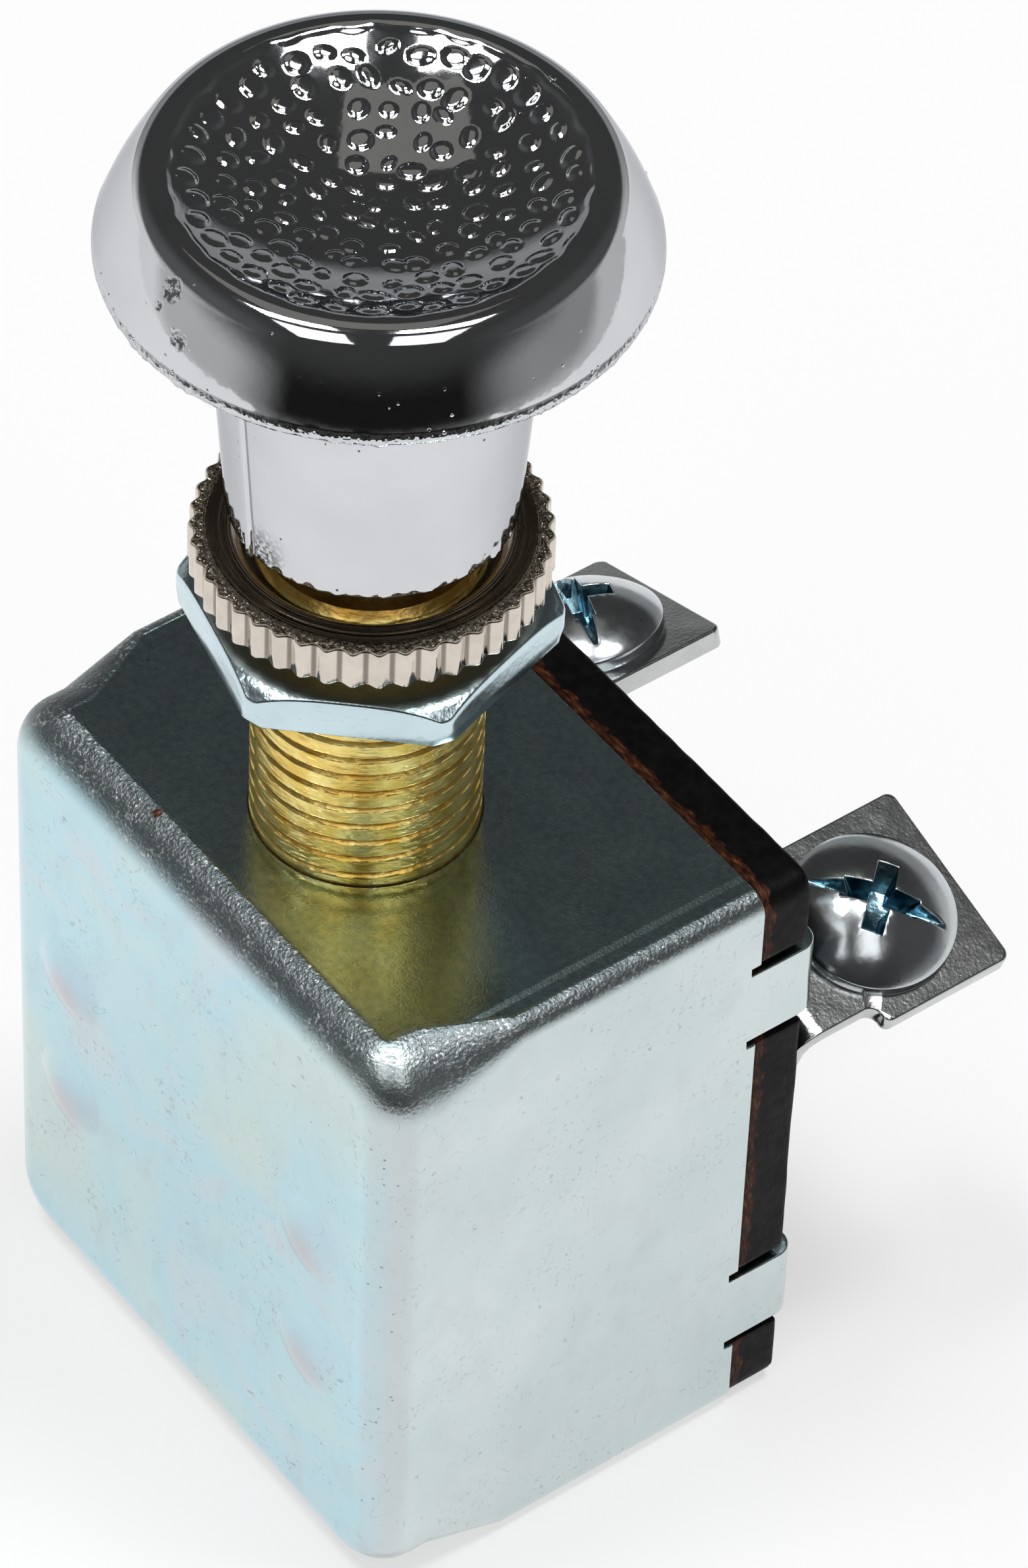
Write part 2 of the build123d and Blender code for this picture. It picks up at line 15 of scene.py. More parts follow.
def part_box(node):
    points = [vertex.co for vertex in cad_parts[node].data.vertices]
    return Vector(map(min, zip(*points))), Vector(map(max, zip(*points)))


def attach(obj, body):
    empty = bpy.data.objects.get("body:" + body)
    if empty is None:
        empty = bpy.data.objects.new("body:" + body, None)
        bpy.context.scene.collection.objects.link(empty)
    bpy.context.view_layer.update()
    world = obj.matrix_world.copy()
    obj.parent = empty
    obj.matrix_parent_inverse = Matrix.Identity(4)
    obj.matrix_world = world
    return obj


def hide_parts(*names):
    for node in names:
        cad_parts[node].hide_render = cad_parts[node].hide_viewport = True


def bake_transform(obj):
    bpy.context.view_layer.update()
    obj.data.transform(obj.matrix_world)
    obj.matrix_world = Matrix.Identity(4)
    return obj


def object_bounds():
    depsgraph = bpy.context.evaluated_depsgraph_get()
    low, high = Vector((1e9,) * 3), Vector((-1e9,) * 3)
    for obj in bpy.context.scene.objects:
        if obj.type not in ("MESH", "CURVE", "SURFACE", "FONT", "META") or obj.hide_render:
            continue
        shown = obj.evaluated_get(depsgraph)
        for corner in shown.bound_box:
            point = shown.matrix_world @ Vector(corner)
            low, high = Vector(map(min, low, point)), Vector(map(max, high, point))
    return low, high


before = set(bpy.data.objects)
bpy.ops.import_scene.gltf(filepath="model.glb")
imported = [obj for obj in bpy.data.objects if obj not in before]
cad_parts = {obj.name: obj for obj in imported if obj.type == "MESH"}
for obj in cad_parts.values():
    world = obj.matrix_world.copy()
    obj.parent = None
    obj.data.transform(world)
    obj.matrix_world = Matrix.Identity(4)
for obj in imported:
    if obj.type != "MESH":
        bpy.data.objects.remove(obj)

cad_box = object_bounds()
MM = 0.001
TINY = 1e-9
TURN = 2 * math.pi
SEED = 11
SIDES = {"left": -1, "right": 1}

# Mesh work: what counts as one point, on a plane, flat, a rim, hard, or sharp in the shading
WELD = 0.0005
SOLID_WELD = 0.001
ON_PLANE = 0.02
FLAT_ANGLE = 0.5
RIM_ANGLE = 8.0
HARD_ANGLE = 30.0
TURNED_SHARP = 40.0
SOLID_SHARP = 50.0
COIL_SHARP = 60.0
BOARD_SHARP = 70.0
RIM_SEGMENTS = 3
EDGE_SEGMENTS = 2
LARGE_FACES = 100
EASED = {"case": 0.1, "slider": 0.25, "contact_bridge": 0.15, "terminal": 0.14, "screw": 0.05}

# Knob section; the pebbled steps run from the dish onto the crest, and the socket's last steps stay
# plain
HEAD_HEIGHT = 5.6
CREST_RADIUS = 11.3
CREST_ROUND = 1.6
DISH_SLOPE = 27.0
EDGE_ROUND = 0.55
FLANK_BULGE = 0.12
STEM_TOP_RADIUS = 9.0
STEM_END_RADIUS = 7.8
STEM_BLEND = 1.0
STEM_EDGE = 0.25
SOCKET_RADIUS = 3.205
SOCKET_DEPTH = 13.6
STEM_BAND = (SOCKET_RADIUS + 1, STEM_TOP_RADIUS + 0.3)
KNOB_SPARE = 0.005
KNOB_POINTS = 360
KNOB_STEPS = {"dish": 100, "crest": 14, "flank": 24, "lip": 10, "under": 7, "blend": 8, "stem": 46,
              "edge": 5, "foot": 5, "socket": 3}
PEBBLED_STEPS = KNOB_STEPS["dish"] + 6
SOCKET_STEPS = 3

# Mould seams down the knob's stem
RIB_WIDTH = 0.4
RIB_PROUD = 0.22
RIB_EDGE = 0.06
RIB_START = (0.6, 1.0)
RIB_POINTS = (-0.3, -0.24, -0.18, -0.1, 0.1, 0.18, 0.24, 0.3)

# Pebbles in the dish; pairs are the least and the most
PEBBLE_PITCH = 1.6
PEBBLE_RINGS = 6
PEBBLE_RADIUS = 0.68
PEBBLE_HEIGHT = 0.1
PEBBLE_DOME = 0.035
PEBBLE_FLAT = 0.5
PEBBLE_TURN = (-0.2, 0.2)
PEBBLE_DRIFT = (-0.3, 0.3)
PEBBLE_WIDE = (0.72, 1.1)
PEBBLE_NARROW = (0.62, 1.0)
PEBBLE_TALL = (0.75, 1.15)
PEBBLED_RADIUS = 10.85
PEBBLED_DROP = 0.07
PEBBLED_FADE = 0.3
PEBBLED_WAVES = ((0.09, 23, 0.0), (0.07, 37, 1.3))

# Plating nodules on the knob's lip and foot
LIP_NODULES = {"spread": 0.3, "count": 220, "size": 0.17, "height": 0.09}
FOOT_NODULES = {"spread": 0.14, "count": 110, "size": 0.15, "height": 0.07}
LIP_NODULES_PAST = 0.45
NODULE_WIDE = (0.6, 1.5)
NODULE_TALL = (0.3, 1.0)

# Threads and bushing
THREAD_RADIUS = 6.35
THREAD_PITCH = 1.27
THREAD_DEPTH = 0.32
THREAD_LAND = 0.66
THREAD_START = -0.3
THREAD_ROWS = 24
BUSHING_POINTS = 192
BUSHING_BORE = 3.255
BUSHING_CHAMFER = 0.5
BORE_CHAMFER = 0.4
FLANGE_RADIUS = 8.4
FLANGE_TOP = -0.9
FLANGE_CHAMFER = 0.3

# Hexagon nut; the edges are pairs of how far in and how far down or up, and the shares say where
# rows of points cross a face
NUT_BORE = 6.4
HEX_POINTS = 360
HEX_MOUTH = 0.35
HEX_FLATS = 18.25
HEX_TURN = 46.7
HEX_RIM = 8.775
HEX_CHAMFER = 26.0
HEX_CORNER = 10.46
HEX_FOOT = 10.2
HEX_ROUND = 0.12
HEX_DROP = 0.16
HEX_SKIRT = 0.5
HEX_EDGE = ((HEX_ROUND, 0.0), (0.07, 0.025), (0.025, 0.08), (0.0, HEX_DROP))
HEX_FOOT_EDGE = ((0.0, 0.14), (0.03, 0.06), (0.08, 0.015), (0.16, 0.0))
HEX_TOP_SHARES = (0.3, 0.6, 0.9, 1.0)
HEX_CHAMFER_SHARES = (0.2, 0.4, 0.6, 0.8)
HEX_SIDE_SHARES = (0.25, 0.5, 0.75)
CORNER_KEPT = 0.5
CORNER_FADE = 0.2

# Face nut, with the same kind of edges and shares
TEETH = 43
TOOTH_DEPTH = 0.32
TOOTH_POINTS = 14
FACE_MOUTH = 0.3
FACE_ROUND = 0.15
FACE_DROP = 0.16
FACE_RISE = 0.12
FACE_EDGE = ((FACE_ROUND, 0.0), (0.08, 0.03), (0.03, 0.08), (0.0, FACE_DROP))
FACE_FOOT_EDGE = ((0.0, FACE_RISE), (0.03, 0.04), (0.1, 0.0))
FACE_TOP_SHARES = (0.0, 0.25, 0.5, 0.75, 0.92)
FACE_SIDE_SHARES = (0.3, 0.6)
RECESS_RADIUS = 7.0
RECESS_DEPTH = 1.2
RECESS_ROUND = 0.1
RECESS_CHAMFER = 0.45
RECESS_LIP = 0.04
RECESS_LAND = 0.03

# Terminal screws
SCREW_RADIUS = 2.05
SCREW_PITCH = 0.8
SCREW_THREAD_DEPTH = 0.42
SCREW_THREAD_LAND = 0.15
SCREW_LENGTH = 7.5
SCREW_POINT = 0.5
SCREW_ROOT = 0.3
SCREW_POINTS = 96
SCREW_ROWS = 12
SCREW_HEAD = 4.9
HEAD_EDGE = 0.7
HEAD_DOME = 2.0
SLOT_TURNS = {"left": -20.0, "right": 41.6}
SLOT_FLOOR = 0.3
SLOT_DEPTH = 0.06
SLOT_RIM = 0.4
PAD_CENTRE_X = 13.5
PAD_CENTRE_DROP = 13.05
FAN_ANGLE = 18.4
SCREW_OUT = 8.6

# Board, with a torn band along its edges
BOARD_VOXEL = 0.25
RAGGED = 0.07
TORN_BAND = (0.5, 0.1)
TEAR_WAVES = 14
TEAR_RATES = (1.6, 0.9, 1.6)
TEAR_MOST = 1.3

# Detent dimples in the case's front
DIMPLE_X = 11.6
DIMPLE_TOP = 17.6
DIMPLE_SPACING = 9.5
DIMPLE_RADIUS = 2.9
DIMPLE_BLEND = 0.55
CASE_FRONT = 11.75

# Marks: the die's line from the side of the case, how far down the bends reach, a speck of rust, a
# rubbed corner where the bends' painted shade is lifted into a painted highlight, and nicks on the
# knob with their sizes
DIE_LINE = 2.1
BEND_DEPTH = 4.5
RUST_SPECK = (-5.8, -9.75, -0.12)
RUBBED_CORNER_HIGHLIGHT = (16.8, -10.2, -0.5)
KNOB_NICKS = (((0.3, -12.95, 45.2), 0.8), ((1.92, -13.64, 43.36), 0.6))

# Tints: stops of a ramp, each a position and a linear colour
CASE_FRONT_TINTS = ((0.32, (0.60, 0.735, 0.715)), (0.43, (0.56, 0.74, 0.77)),
                    (0.53, (0.51, 0.73, 0.80)), (0.60, (0.58, 0.72, 0.77)),
                    (0.70, (0.64, 0.69, 0.74)))
CASE_SIDE_TINTS = ((0.35, (0.57, 0.66, 0.67)), (0.65, (0.64, 0.71, 0.71)))
CASE_TOP_TINTS = ((0.35, (0.40, 0.54, 0.56)), (0.65, (0.55, 0.69, 0.70)))
BRASS_TINTS = ((0.32, (0.80, 0.52, 0.09)), (0.66, (1.0, 0.81, 0.29)))
HEX_TINTS = ((0.35, (0.56, 0.70, 0.75)), (0.65, (0.62, 0.76, 0.80)))
NICKEL_TINTS = ((0.35, (0.62, 0.56, 0.49)), (0.65, (0.70, 0.64, 0.56)))
CHROME_TINTS = ((0.3, (0.62, 0.635, 0.655)), (0.7, (0.68, 0.69, 0.71)))
CHROME_RIM_TINT = (0.62, 0.63, 0.65, 1)
FIBRE_TINTS = ((0.35, (0.10, 0.045, 0.02)), (0.7, (0.20, 0.10, 0.045)))
BOARD_TINTS = ((0.4, (0.0015, 0.0015, 0.0015)), (0.75, (0.006, 0.0055, 0.0055)))
CORE_TINTS = ((0.35, (0.015, 0.005, 0.003)), (0.55, (0.06, 0.018, 0.007)),
              (0.72, (0.17, 0.065, 0.022)))
TIN_TINTS = ((0.3, (0.50, 0.52, 0.52)), (0.7, (0.60, 0.61, 0.60)))
SCREW_TINTS = ((0.3, (0.50, 0.54, 0.56)), (0.7, (0.60, 0.63, 0.64)))
# The cross recess: painted shade over a blue tint
SLOT_SHADE_TINTS = ((0.35, (0.05, 0.14, 0.19)), (0.65, (0.26, 0.43, 0.50)))

# Coats: a linear colour, and how strongly it covers what is under it
# Dimple coats: painted shade over each dimple, and a painted pinkish reflection low on its left
DIMPLE_SHADE = (0.46, 0.58, 0.68, 0.5)
DIMPLE_PAINTED_REFLECTION = (0.58, 0.53, 0.56, 0.7)
CASE_SMEAR = (0.48, 0.49, 0.51, 0.16)
# Painted shade on the rounded edges between the front and the sides
CASE_EDGE_SHADE = (0.53, 0.54, 0.56, 0.4)
CASE_DIRT = (0.28, 0.28, 0.27, 0.4)
CASE_PIT = (0.12, 0.12, 0.12, 0.65)
CASE_RUST = (0.10, 0.03, 0.012, 0.9)
CASE_HAIR = (0.25, 0.26, 0.26, 0.5)
# The bends' coat is partly a duller finish and partly painted shade
BEND_DULL_AND_SHADE = (0.085, 0.095, 0.10, 0.8)
BEND_FLECK = (0.85, 0.88, 0.89, 0.8)
TOP_FLECK = (0.8, 0.86, 0.86, 0.4)
BRASS_STAIN = (0.48, 0.22, 0.03, 0.5)
# Stain and painted shade in the thread's roots
BRASS_ROOT_STAIN_AND_SHADE = (0.42, 0.17, 0.02, 0.6)
HEX_SCUFF = (0.14, 0.17, 0.18, 1.0)
# Painted shade on the hex nut's downward faces
HEX_UNDER_SHADE = (0.08, 0.09, 0.09, 0.85)
# Painted shade on the hex nut's flat top
HEX_TOP_SHADE = (0.17, 0.19, 0.19, 0.75)
# Painted shade on the face nut's upward faces
NICKEL_TOP_SHADE = (0.17, 0.13, 0.085, 0.93)
NICKEL_BURR = (0.55, 0.50, 0.42, 1.0)
# Painted shade in the grooves between the face nut's teeth
NICKEL_GROOVE_SHADE = (0.12, 0.10, 0.08, 0.75)
# Painted highlight arcs along the turning marks
NICKEL_ARC_HIGHLIGHT = (0.50, 0.42, 0.31, 0.6)
CHROME_MARK = (0.05, 0.045, 0.04, 0.85)
# A dark patch low on the knob's stem, beside the rib
CHROME_DARK_PATCH = (0.03, 0.028, 0.026, 0.85)
TIN_SPECK = (0.12, 0.12, 0.11, 0.6)
SCREW_PIT = (0.10, 0.10, 0.10, 0.7)

# Plain metals: a linear colour and the least roughness; brass has the roughness alone
METALS = {"contact_copper": ((0.75, 0.36, 0.20), 0.25), "shaft_steel": ((0.62, 0.62, 0.60), 0.2),
          "ball_steel": ((0.70, 0.70, 0.70), 0.06), "spring_steel": ((0.45, 0.45, 0.46), 0.25),
          "washer_steel": ((0.60, 0.61, 0.62), 0.3)}
METAL_SHADE = 0.82
BRASS_DULL = {"brass_bushing": 0.22, "rivet_brass": 0.25}
NICKEL_DULL = 0.11
BOARD_SHINE = 0.1

# Camera, from the photograph's own frame
PHOTO_HEIGHT = 2380
AZIMUTH = 53.226
ELEVATION = 45.865
ROLL = 1.388
DISTANCE = 445.23
AIM_HEIGHT = 10.0
FOCAL_PIXELS = 12641.56
OFF_CENTRE = (220.9, 169.55)
SENSOR = 36.0
CLIP_NEAR = 0.01
CLIP_FAR = 100

# Table top, metres from the plunger's axis as the camera sees it
TABLE_LEFT = 0.65
TABLE_RIGHT = 0.45
TABLE_NEAR = 0.5
TABLE_FAR = 0.6
TABLE_BELOW = 0.00005
TABLE_PAINT = (0.92, 0.92, 0.92, 1)
TABLE_GLOW = 0.6

# Room that mirrors see: RISE is the sine of a ray's elevation, WAY its reach along the floor
WHITE = (1, 1, 1, 1)
ROOM_RISE = (0.05, 0.3)
ROOM_LEVELS = (0.012, 0.05)
BACKDROP_WAY = (-0.2, 0.7)
BACKDROP_TOPS = (-0.15, 0.26)
BACKDROP_FADE = (-0.06, 0.08)
BACKDROP_LEVEL = 0.3
SIDE_WAY = (0.5, 0.88)
SIDE_RISE = (0.05, 0.24)
SIDE_LEVELS = (0.6, 0.07)
SIDE_LEFT = 0.9
SIDE_RIGHT = 0.5

# Lamps: tilt from the zenith to the camera's right and away from it, width, depth, brightness, and
# a colour if it isn't white
LAMP_DISTANCE = 2.5
LAMPS = {"lamp_left": (-16.5, 0.0, 17.0, 11.0, 24.0),
         "lamp_right": (12.7, 0.0, 17.0, 11.0, 24.0),
         "box_left": (-21.0, -32.0, 20.0, 32.0, 1.6),
         "box_right": (17.0, -32.0, 20.0, 32.0, 1.6),
         "card": (-5.0, 22.0, 25.0, 26.0, 0.17, (1.0, 0.97, 0.88))}


# Section and surface helpers

def straight(start, end, steps):
    """Points on a line in the section plane, without its last one."""
    return [tuple(a + (b - a) * i / steps for a, b in zip(start, end)) for i in range(steps)]


def arc(centre, radius, start, end, steps):
    """Points on a circle in the section plane between two angles, without the last one."""
    turns = [math.radians(start + (end - start) * i / steps) for i in range(steps)]
    return [(centre[0] + radius * math.cos(t), centre[1] + radius * math.sin(t)) for t in turns]


def around(count):
    """Even angles round the axis, in radians."""
    return np.linspace(0, TURN, count, endpoint=False)


def rings(angles, section):
    """Closed rows of points; each radius and height is a number or an array along the angles."""
    across = np.cos(angles)
    along = np.sin(angles)
    return [np.stack([radius * across, radius * along, height + 0 * angles], axis=-1)
            for radius, height in section]


def smooth(value, low, high):
    """0 below low, 1 above high, and an even S between."""
    t = np.clip((value - low) / (high - low), 0, 1)
    return t * t * (3 - 2 * t)


def placed(name, data):
    """A new object in the scene."""
    made = bpy.data.objects.new(name, data)
    bpy.context.scene.collection.objects.link(made)
    return made


def applied(piece):
    """The mesh of a piece with its modifiers worked in."""
    depsgraph = bpy.context.evaluated_depsgraph_get()
    return bpy.data.meshes.new_from_object(piece.evaluated_get(depsgraph))


def shade(mesh, sharp):
    """Shades a mesh smooth, except at edges that turn more than an angle."""
    mesh.shade_smooth()
    mesh.set_sharp_from_angle(angle=math.radians(sharp))


def surface(name, rows, wrap=False, place=Matrix.Identity(4)):
    """A mesh object from closed rows of points; wrap joins the last row to the first."""
    points = np.asarray(rows, float)
    count, turn = points.shape[:2]
    index = np.arange(count * turn).reshape(count, turn)
    low = index if wrap else index[:-1]
    high = np.roll(index, -1, axis=0) if wrap else index[1:]
    quads = np.stack([low, np.roll(low, -1, axis=1), np.roll(high, -1, axis=1), high], axis=-1)
    mesh = bpy.data.meshes.new(name)
    mesh.from_pydata((points.reshape(-1, 3) * MM).tolist(), [], quads.reshape(-1, 4).tolist())
    mesh.transform(place)
    return finished(name, mesh, TURNED_SHARP)


def finished(name, mesh, sharp):
    """Welds a mesh, turns its faces outwards, shades it and puts it in the scene."""
    shape = bmesh.new()
    shape.from_mesh(mesh)
    bmesh.ops.remove_doubles(shape, verts=shape.verts, dist=WELD * MM)
    bmesh.ops.recalc_face_normals(shape, faces=shape.faces)
    shape.to_mesh(mesh)
    shape.free()
    shade(mesh, sharp)
    return placed(name, mesh)


def evened(piece):
    """Lets the large faces set the shading, so that flats look flat up to their rounded edges."""
    weigh = piece.modifiers.new("even", "WEIGHTED_NORMAL")
    weigh.keep_sharp = True
    weigh.weight = LARGE_FACES
    piece.data = applied(piece)
    piece.modifiers.clear()
    return piece


def turns(edge, angle):
    """Whether the surface turns by more than an angle at an edge."""
    return len(edge.link_faces) == 2 and edge.calc_face_angle() > math.radians(angle)


def round_off(shape, edges, width, segments):
    bmesh.ops.bevel(shape, geom=edges, offset=width * MM, segments=segments, profile=0.5,
                    affect="EDGES", clamp_overlap=True)


def softened(node, width, front=None):
    """A copy of a solid whose hard edges are rounded off a little, as a tumbled part has them.

    With front, the rims of the dimples in that face are blended into it as well.
    """
    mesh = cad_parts[node].data.copy()
    mesh.materials.clear()
    shape = bmesh.new()
    shape.from_mesh(mesh)
    bmesh.ops.remove_doubles(shape, verts=shape.verts, dist=SOLID_WELD * MM)
    bmesh.ops.dissolve_limit(shape, angle_limit=math.radians(FLAT_ANGLE), verts=shape.verts,
                             edges=shape.edges)
    if front is not None:
        rims = [e for e in shape.edges if turns(e, RIM_ANGLE)
                and all(abs(v.co.y - front * MM) < ON_PLANE * MM for v in e.verts)]
        round_off(shape, rims, DIMPLE_BLEND, RIM_SEGMENTS)
    round_off(shape, [e for e in shape.edges if turns(e, HARD_ANGLE)], width, EDGE_SEGMENTS)
    bmesh.ops.triangulate(shape, faces=[f for f in shape.faces if len(f.verts) > 4])
    shape.to_mesh(mesh)
    shape.free()
    return finished(node + "_finished", mesh, SOLID_SHARP)


def dress(piece, finish, body, slot, *nodes):
    """Gives a piece its finish, attaches it to what it moves with, and hides the solids it stands
    in for.
    """
    for one in finish if isinstance(finish, tuple) else (finish,):
        piece.data.materials.append(one)
    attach(piece, body)
    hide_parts(*nodes)


def repaint(node, finish):
    """Gives a solid that is shown as it is a better finish."""
    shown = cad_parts[node]
    shown.data.materials.clear()
    shown.data.materials.append(finish)


# Knob

def knob_section(low, high, head_radius):
    """Radius and height pairs from the middle of the dish, over the head, to the socket's end."""
    steps = KNOB_STEPS
    underside = high - HEAD_HEIGHT
    slope = math.radians(DISH_SLOPE)
    crest = (CREST_RADIUS, high - CREST_ROUND)
    dish_edge = CREST_RADIUS - CREST_ROUND * math.sin(slope)
    dish_ball = dish_edge / math.sin(slope)
    dish_centre = crest[1] + CREST_ROUND * math.cos(slope) + dish_ball * math.cos(slope)
    lip = (head_radius - EDGE_ROUND, underside + EDGE_ROUND)
    lean = math.atan2(head_radius - CREST_RADIUS - CREST_ROUND, crest[1] - lip[1])
    along = (math.cos(lean), math.sin(lean))
    flank_high = (crest[0] + CREST_ROUND * along[0], crest[1] + CREST_ROUND * along[1])
    flank_low = (lip[0] + EDGE_ROUND * along[0], lip[1] + EDGE_ROUND * along[1])
    flank = []
    for i, (r, z) in enumerate(straight(flank_high, flank_low, steps["flank"])):
        share = i / steps["flank"]
        bulge = 4 * FLANK_BULGE * share * (1 - share)
        flank.append((r + bulge * along[0], z + bulge * along[1]))
    taper = (STEM_TOP_RADIUS - STEM_END_RADIUS) / (underside - low)
    blend_low = underside - STEM_BLEND
    blend_radius = STEM_END_RADIUS + taper * (blend_low - low)
    blend = (blend_radius + STEM_BLEND, blend_low)
    edge = (STEM_END_RADIUS - STEM_EDGE, low + STEM_EDGE)
    socket_end = low + SOCKET_DEPTH
    section = arc((0, dish_centre), dish_ball, -90, -90 + DISH_SLOPE, steps["dish"])
    section += arc(crest, CREST_ROUND, 90 + DISH_SLOPE, math.degrees(lean), steps["crest"])
    section += flank
    section += arc(lip, EDGE_ROUND, math.degrees(lean), -90, steps["lip"])
    section += straight((lip[0], underside), (blend[0], underside), steps["under"])
    section += arc(blend, STEM_BLEND, 90, 180, steps["blend"])
    section += straight((blend_radius, blend_low), (STEM_END_RADIUS, edge[1]), steps["stem"])
    section += arc(edge, STEM_EDGE, 0, -90, steps["edge"])
    section += straight((edge[0], low), (SOCKET_RADIUS, low), steps["foot"])
    section += straight((SOCKET_RADIUS, low), (SOCKET_RADIUS, socket_end), steps["socket"])
    section += [(SOCKET_RADIUS, socket_end), (0.0, socket_end)]
    return np.array(section)


def pebbles(x, y, chance):
    """How far the dish is raised: oval domes in rough rings, in a field below the crest."""
    radius = np.hypot(x, y)
    angle = np.arctan2(y, x)
    edge = PEBBLED_RADIUS
    for size, waves, shift in PEBBLED_WAVES:
        edge = edge + size * np.sin(waves * angle + shift)
    rise = -PEBBLED_DROP * smooth(edge - radius, 0.0, PEBBLED_FADE)
    for level in range(PEBBLE_RINGS + 1):
        distance = level * PEBBLE_PITCH
        count = max(1, round(TURN * distance / PEBBLE_PITCH))
        start = chance.uniform(0, TURN)
        for i in range(count):
            turn = start + TURN * (i + chance.uniform(*PEBBLE_TURN)) / count
            out = distance + chance.uniform(*PEBBLE_DRIFT)
            wide = PEBBLE_RADIUS * chance.uniform(*PEBBLE_WIDE)
            narrow = wide * chance.uniform(*PEBBLE_NARROW)
            lie = chance.uniform(0, math.pi)
            dx = x - out * math.cos(turn)
            dy = y - out * math.sin(turn)
            along = (dx * math.cos(lie) + dy * math.sin(lie)) / wide
            cross = (dy * math.cos(lie) - dx * math.sin(lie)) / narrow
            inside = np.clip(1 - along ** 2 - cross ** 2, 0, 1)
            tall = PEBBLE_HEIGHT * chance.uniform(*PEBBLE_TALL)
            rise = rise + tall * smooth(inside, 0.0, PEBBLE_FLAT) + PEBBLE_DOME * inside
    return rise


def nodules(travel, angle, radius, chance, centre, spread, count, size, height):
    """Plating nodules scattered along one edge, whose place along the section is centre."""
    rise = np.zeros_like(radius)
    for _ in range(count):
        at = chance.gauss(centre, spread)
        turn = chance.uniform(-math.pi, math.pi)
        wide = size * chance.uniform(*NODULE_WIDE)
        across = radius * ((angle - turn + math.pi) % TURN - math.pi)
        tall = height * chance.uniform(*NODULE_TALL)
        rise += tall * np.exp(-((travel - at) ** 2 + across ** 2) / wide ** 2)
    return rise


def make_knob():
    low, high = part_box("knob")
    bottom = low.z / MM
    top = high.z / MM
    tip = high.x / MM
    section = knob_section(bottom, top, tip)
    even = np.linspace(-math.pi, math.pi, KNOB_POINTS, endpoint=False)
    beside = np.array(RIB_POINTS) / STEM_END_RADIUS
    angles = np.sort(np.concatenate([even, beside - math.pi / 2, beside + math.pi / 2]))
    way = np.gradient(section, axis=0)
    way /= np.maximum(np.linalg.norm(way, axis=1, keepdims=True), TINY)
    outward = np.stack([-way[:, 1], way[:, 0]], axis=1)
    travel = np.concatenate([[0], np.cumsum(np.linalg.norm(np.diff(section, axis=0), axis=1))])
    angle, radius = np.meshgrid(angles, section[:, 0])
    height = np.meshgrid(angles, section[:, 1])[1]
    along = np.meshgrid(angles, travel)[1]
    chance = random.Random(SEED)
    dish = (np.arange(len(section)) < PEBBLED_STEPS)[:, None]
    rise = np.where(dish, pebbles(radius * np.cos(angle), radius * np.sin(angle), chance), 0.0)
    lip_at = travel[np.argmax(section[:, 0])]
    end_at = travel[np.argmin(np.hypot(section[:, 0] - STEM_END_RADIUS, section[:, 1] - bottom))]
    rise += nodules(along, angle, radius, chance, lip_at + LIP_NODULES_PAST, **LIP_NODULES)
    rise += nodules(along, angle, radius, chance, end_at, **FOOT_NODULES)
    stem = smooth(top - HEAD_HEIGHT - height, *RIB_START)
    on_stem = (radius > STEM_BAND[0]) & (radius < STEM_BAND[1])
    seam = np.minimum(np.abs(angle - math.pi / 2), np.abs(angle + math.pi / 2)) * radius
    rib = 1 - smooth(seam, RIB_WIDTH / 2 - RIB_EDGE, RIB_WIDTH / 2 + RIB_EDGE)
    rise += np.where(on_stem, RIB_PROUD * stem * rib, 0)
    rise[-SOCKET_STEPS:] = 0
    radius = np.clip(radius + rise * outward[:, :1], 0, tip - KNOB_SPARE)
    height = height + rise * outward[:, 1:]
    rows = np.stack([radius * np.cos(angle), radius * np.sin(angle), height], axis=-1)
    return surface("knob_finished", rows)


# Bushing and nuts

def thread_cut(angles, height, pitch, depth, land):
    """How far a right-hand V groove is cut in at a height: depth at its root, 0 on the land."""
    phase = (height / pitch - angles / TURN) % 1.0
    aside = 2 * np.minimum(phase, 1 - phase)
    return depth * np.clip(1 - aside / (1 - land), 0, 1)


def make_bushing():
    low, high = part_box("bushing")
    bottom = low.z / MM
    top = high.z / MM
    angles = around(BUSHING_POINTS)
    section = [(BUSHING_BORE, bottom), (FLANGE_RADIUS - FLANGE_CHAMFER, bottom),
               (FLANGE_RADIUS, bottom + FLANGE_CHAMFER), (FLANGE_RADIUS, FLANGE_TOP),
               (THREAD_RADIUS, FLANGE_TOP)]
    steps = round((top - FLANGE_TOP) / THREAD_PITCH * THREAD_ROWS)
    for i in range(steps + 1):
        height = FLANGE_TOP + (top - FLANGE_TOP) * i / steps
        cut = thread_cut(angles, height - THREAD_START, THREAD_PITCH, THREAD_DEPTH, THREAD_LAND)
        chamfer = THREAD_RADIUS - BUSHING_CHAMFER + (top - height)
        section.append((np.minimum(THREAD_RADIUS - cut, chamfer), height))
    section += [(BUSHING_BORE + BORE_CHAMFER, top), (BUSHING_BORE, top - BORE_CHAMFER)]
    return surface("bushing_finished", rings(angles, section), wrap=True)


def hexagon(angles):
    """Radius of a hexagon with worn corners."""
    turn = (angles - math.radians(HEX_TURN) + math.pi / 6) % (math.pi / 3) - math.pi / 6
    radius = HEX_FLATS / 2 / np.cos(math.pi / 6 - np.abs(turn))
    over = np.maximum(radius - (HEX_CORNER - HEX_ROUND), 0)
    return radius - over + CORNER_KEPT * over * np.exp(-over / CORNER_FADE)


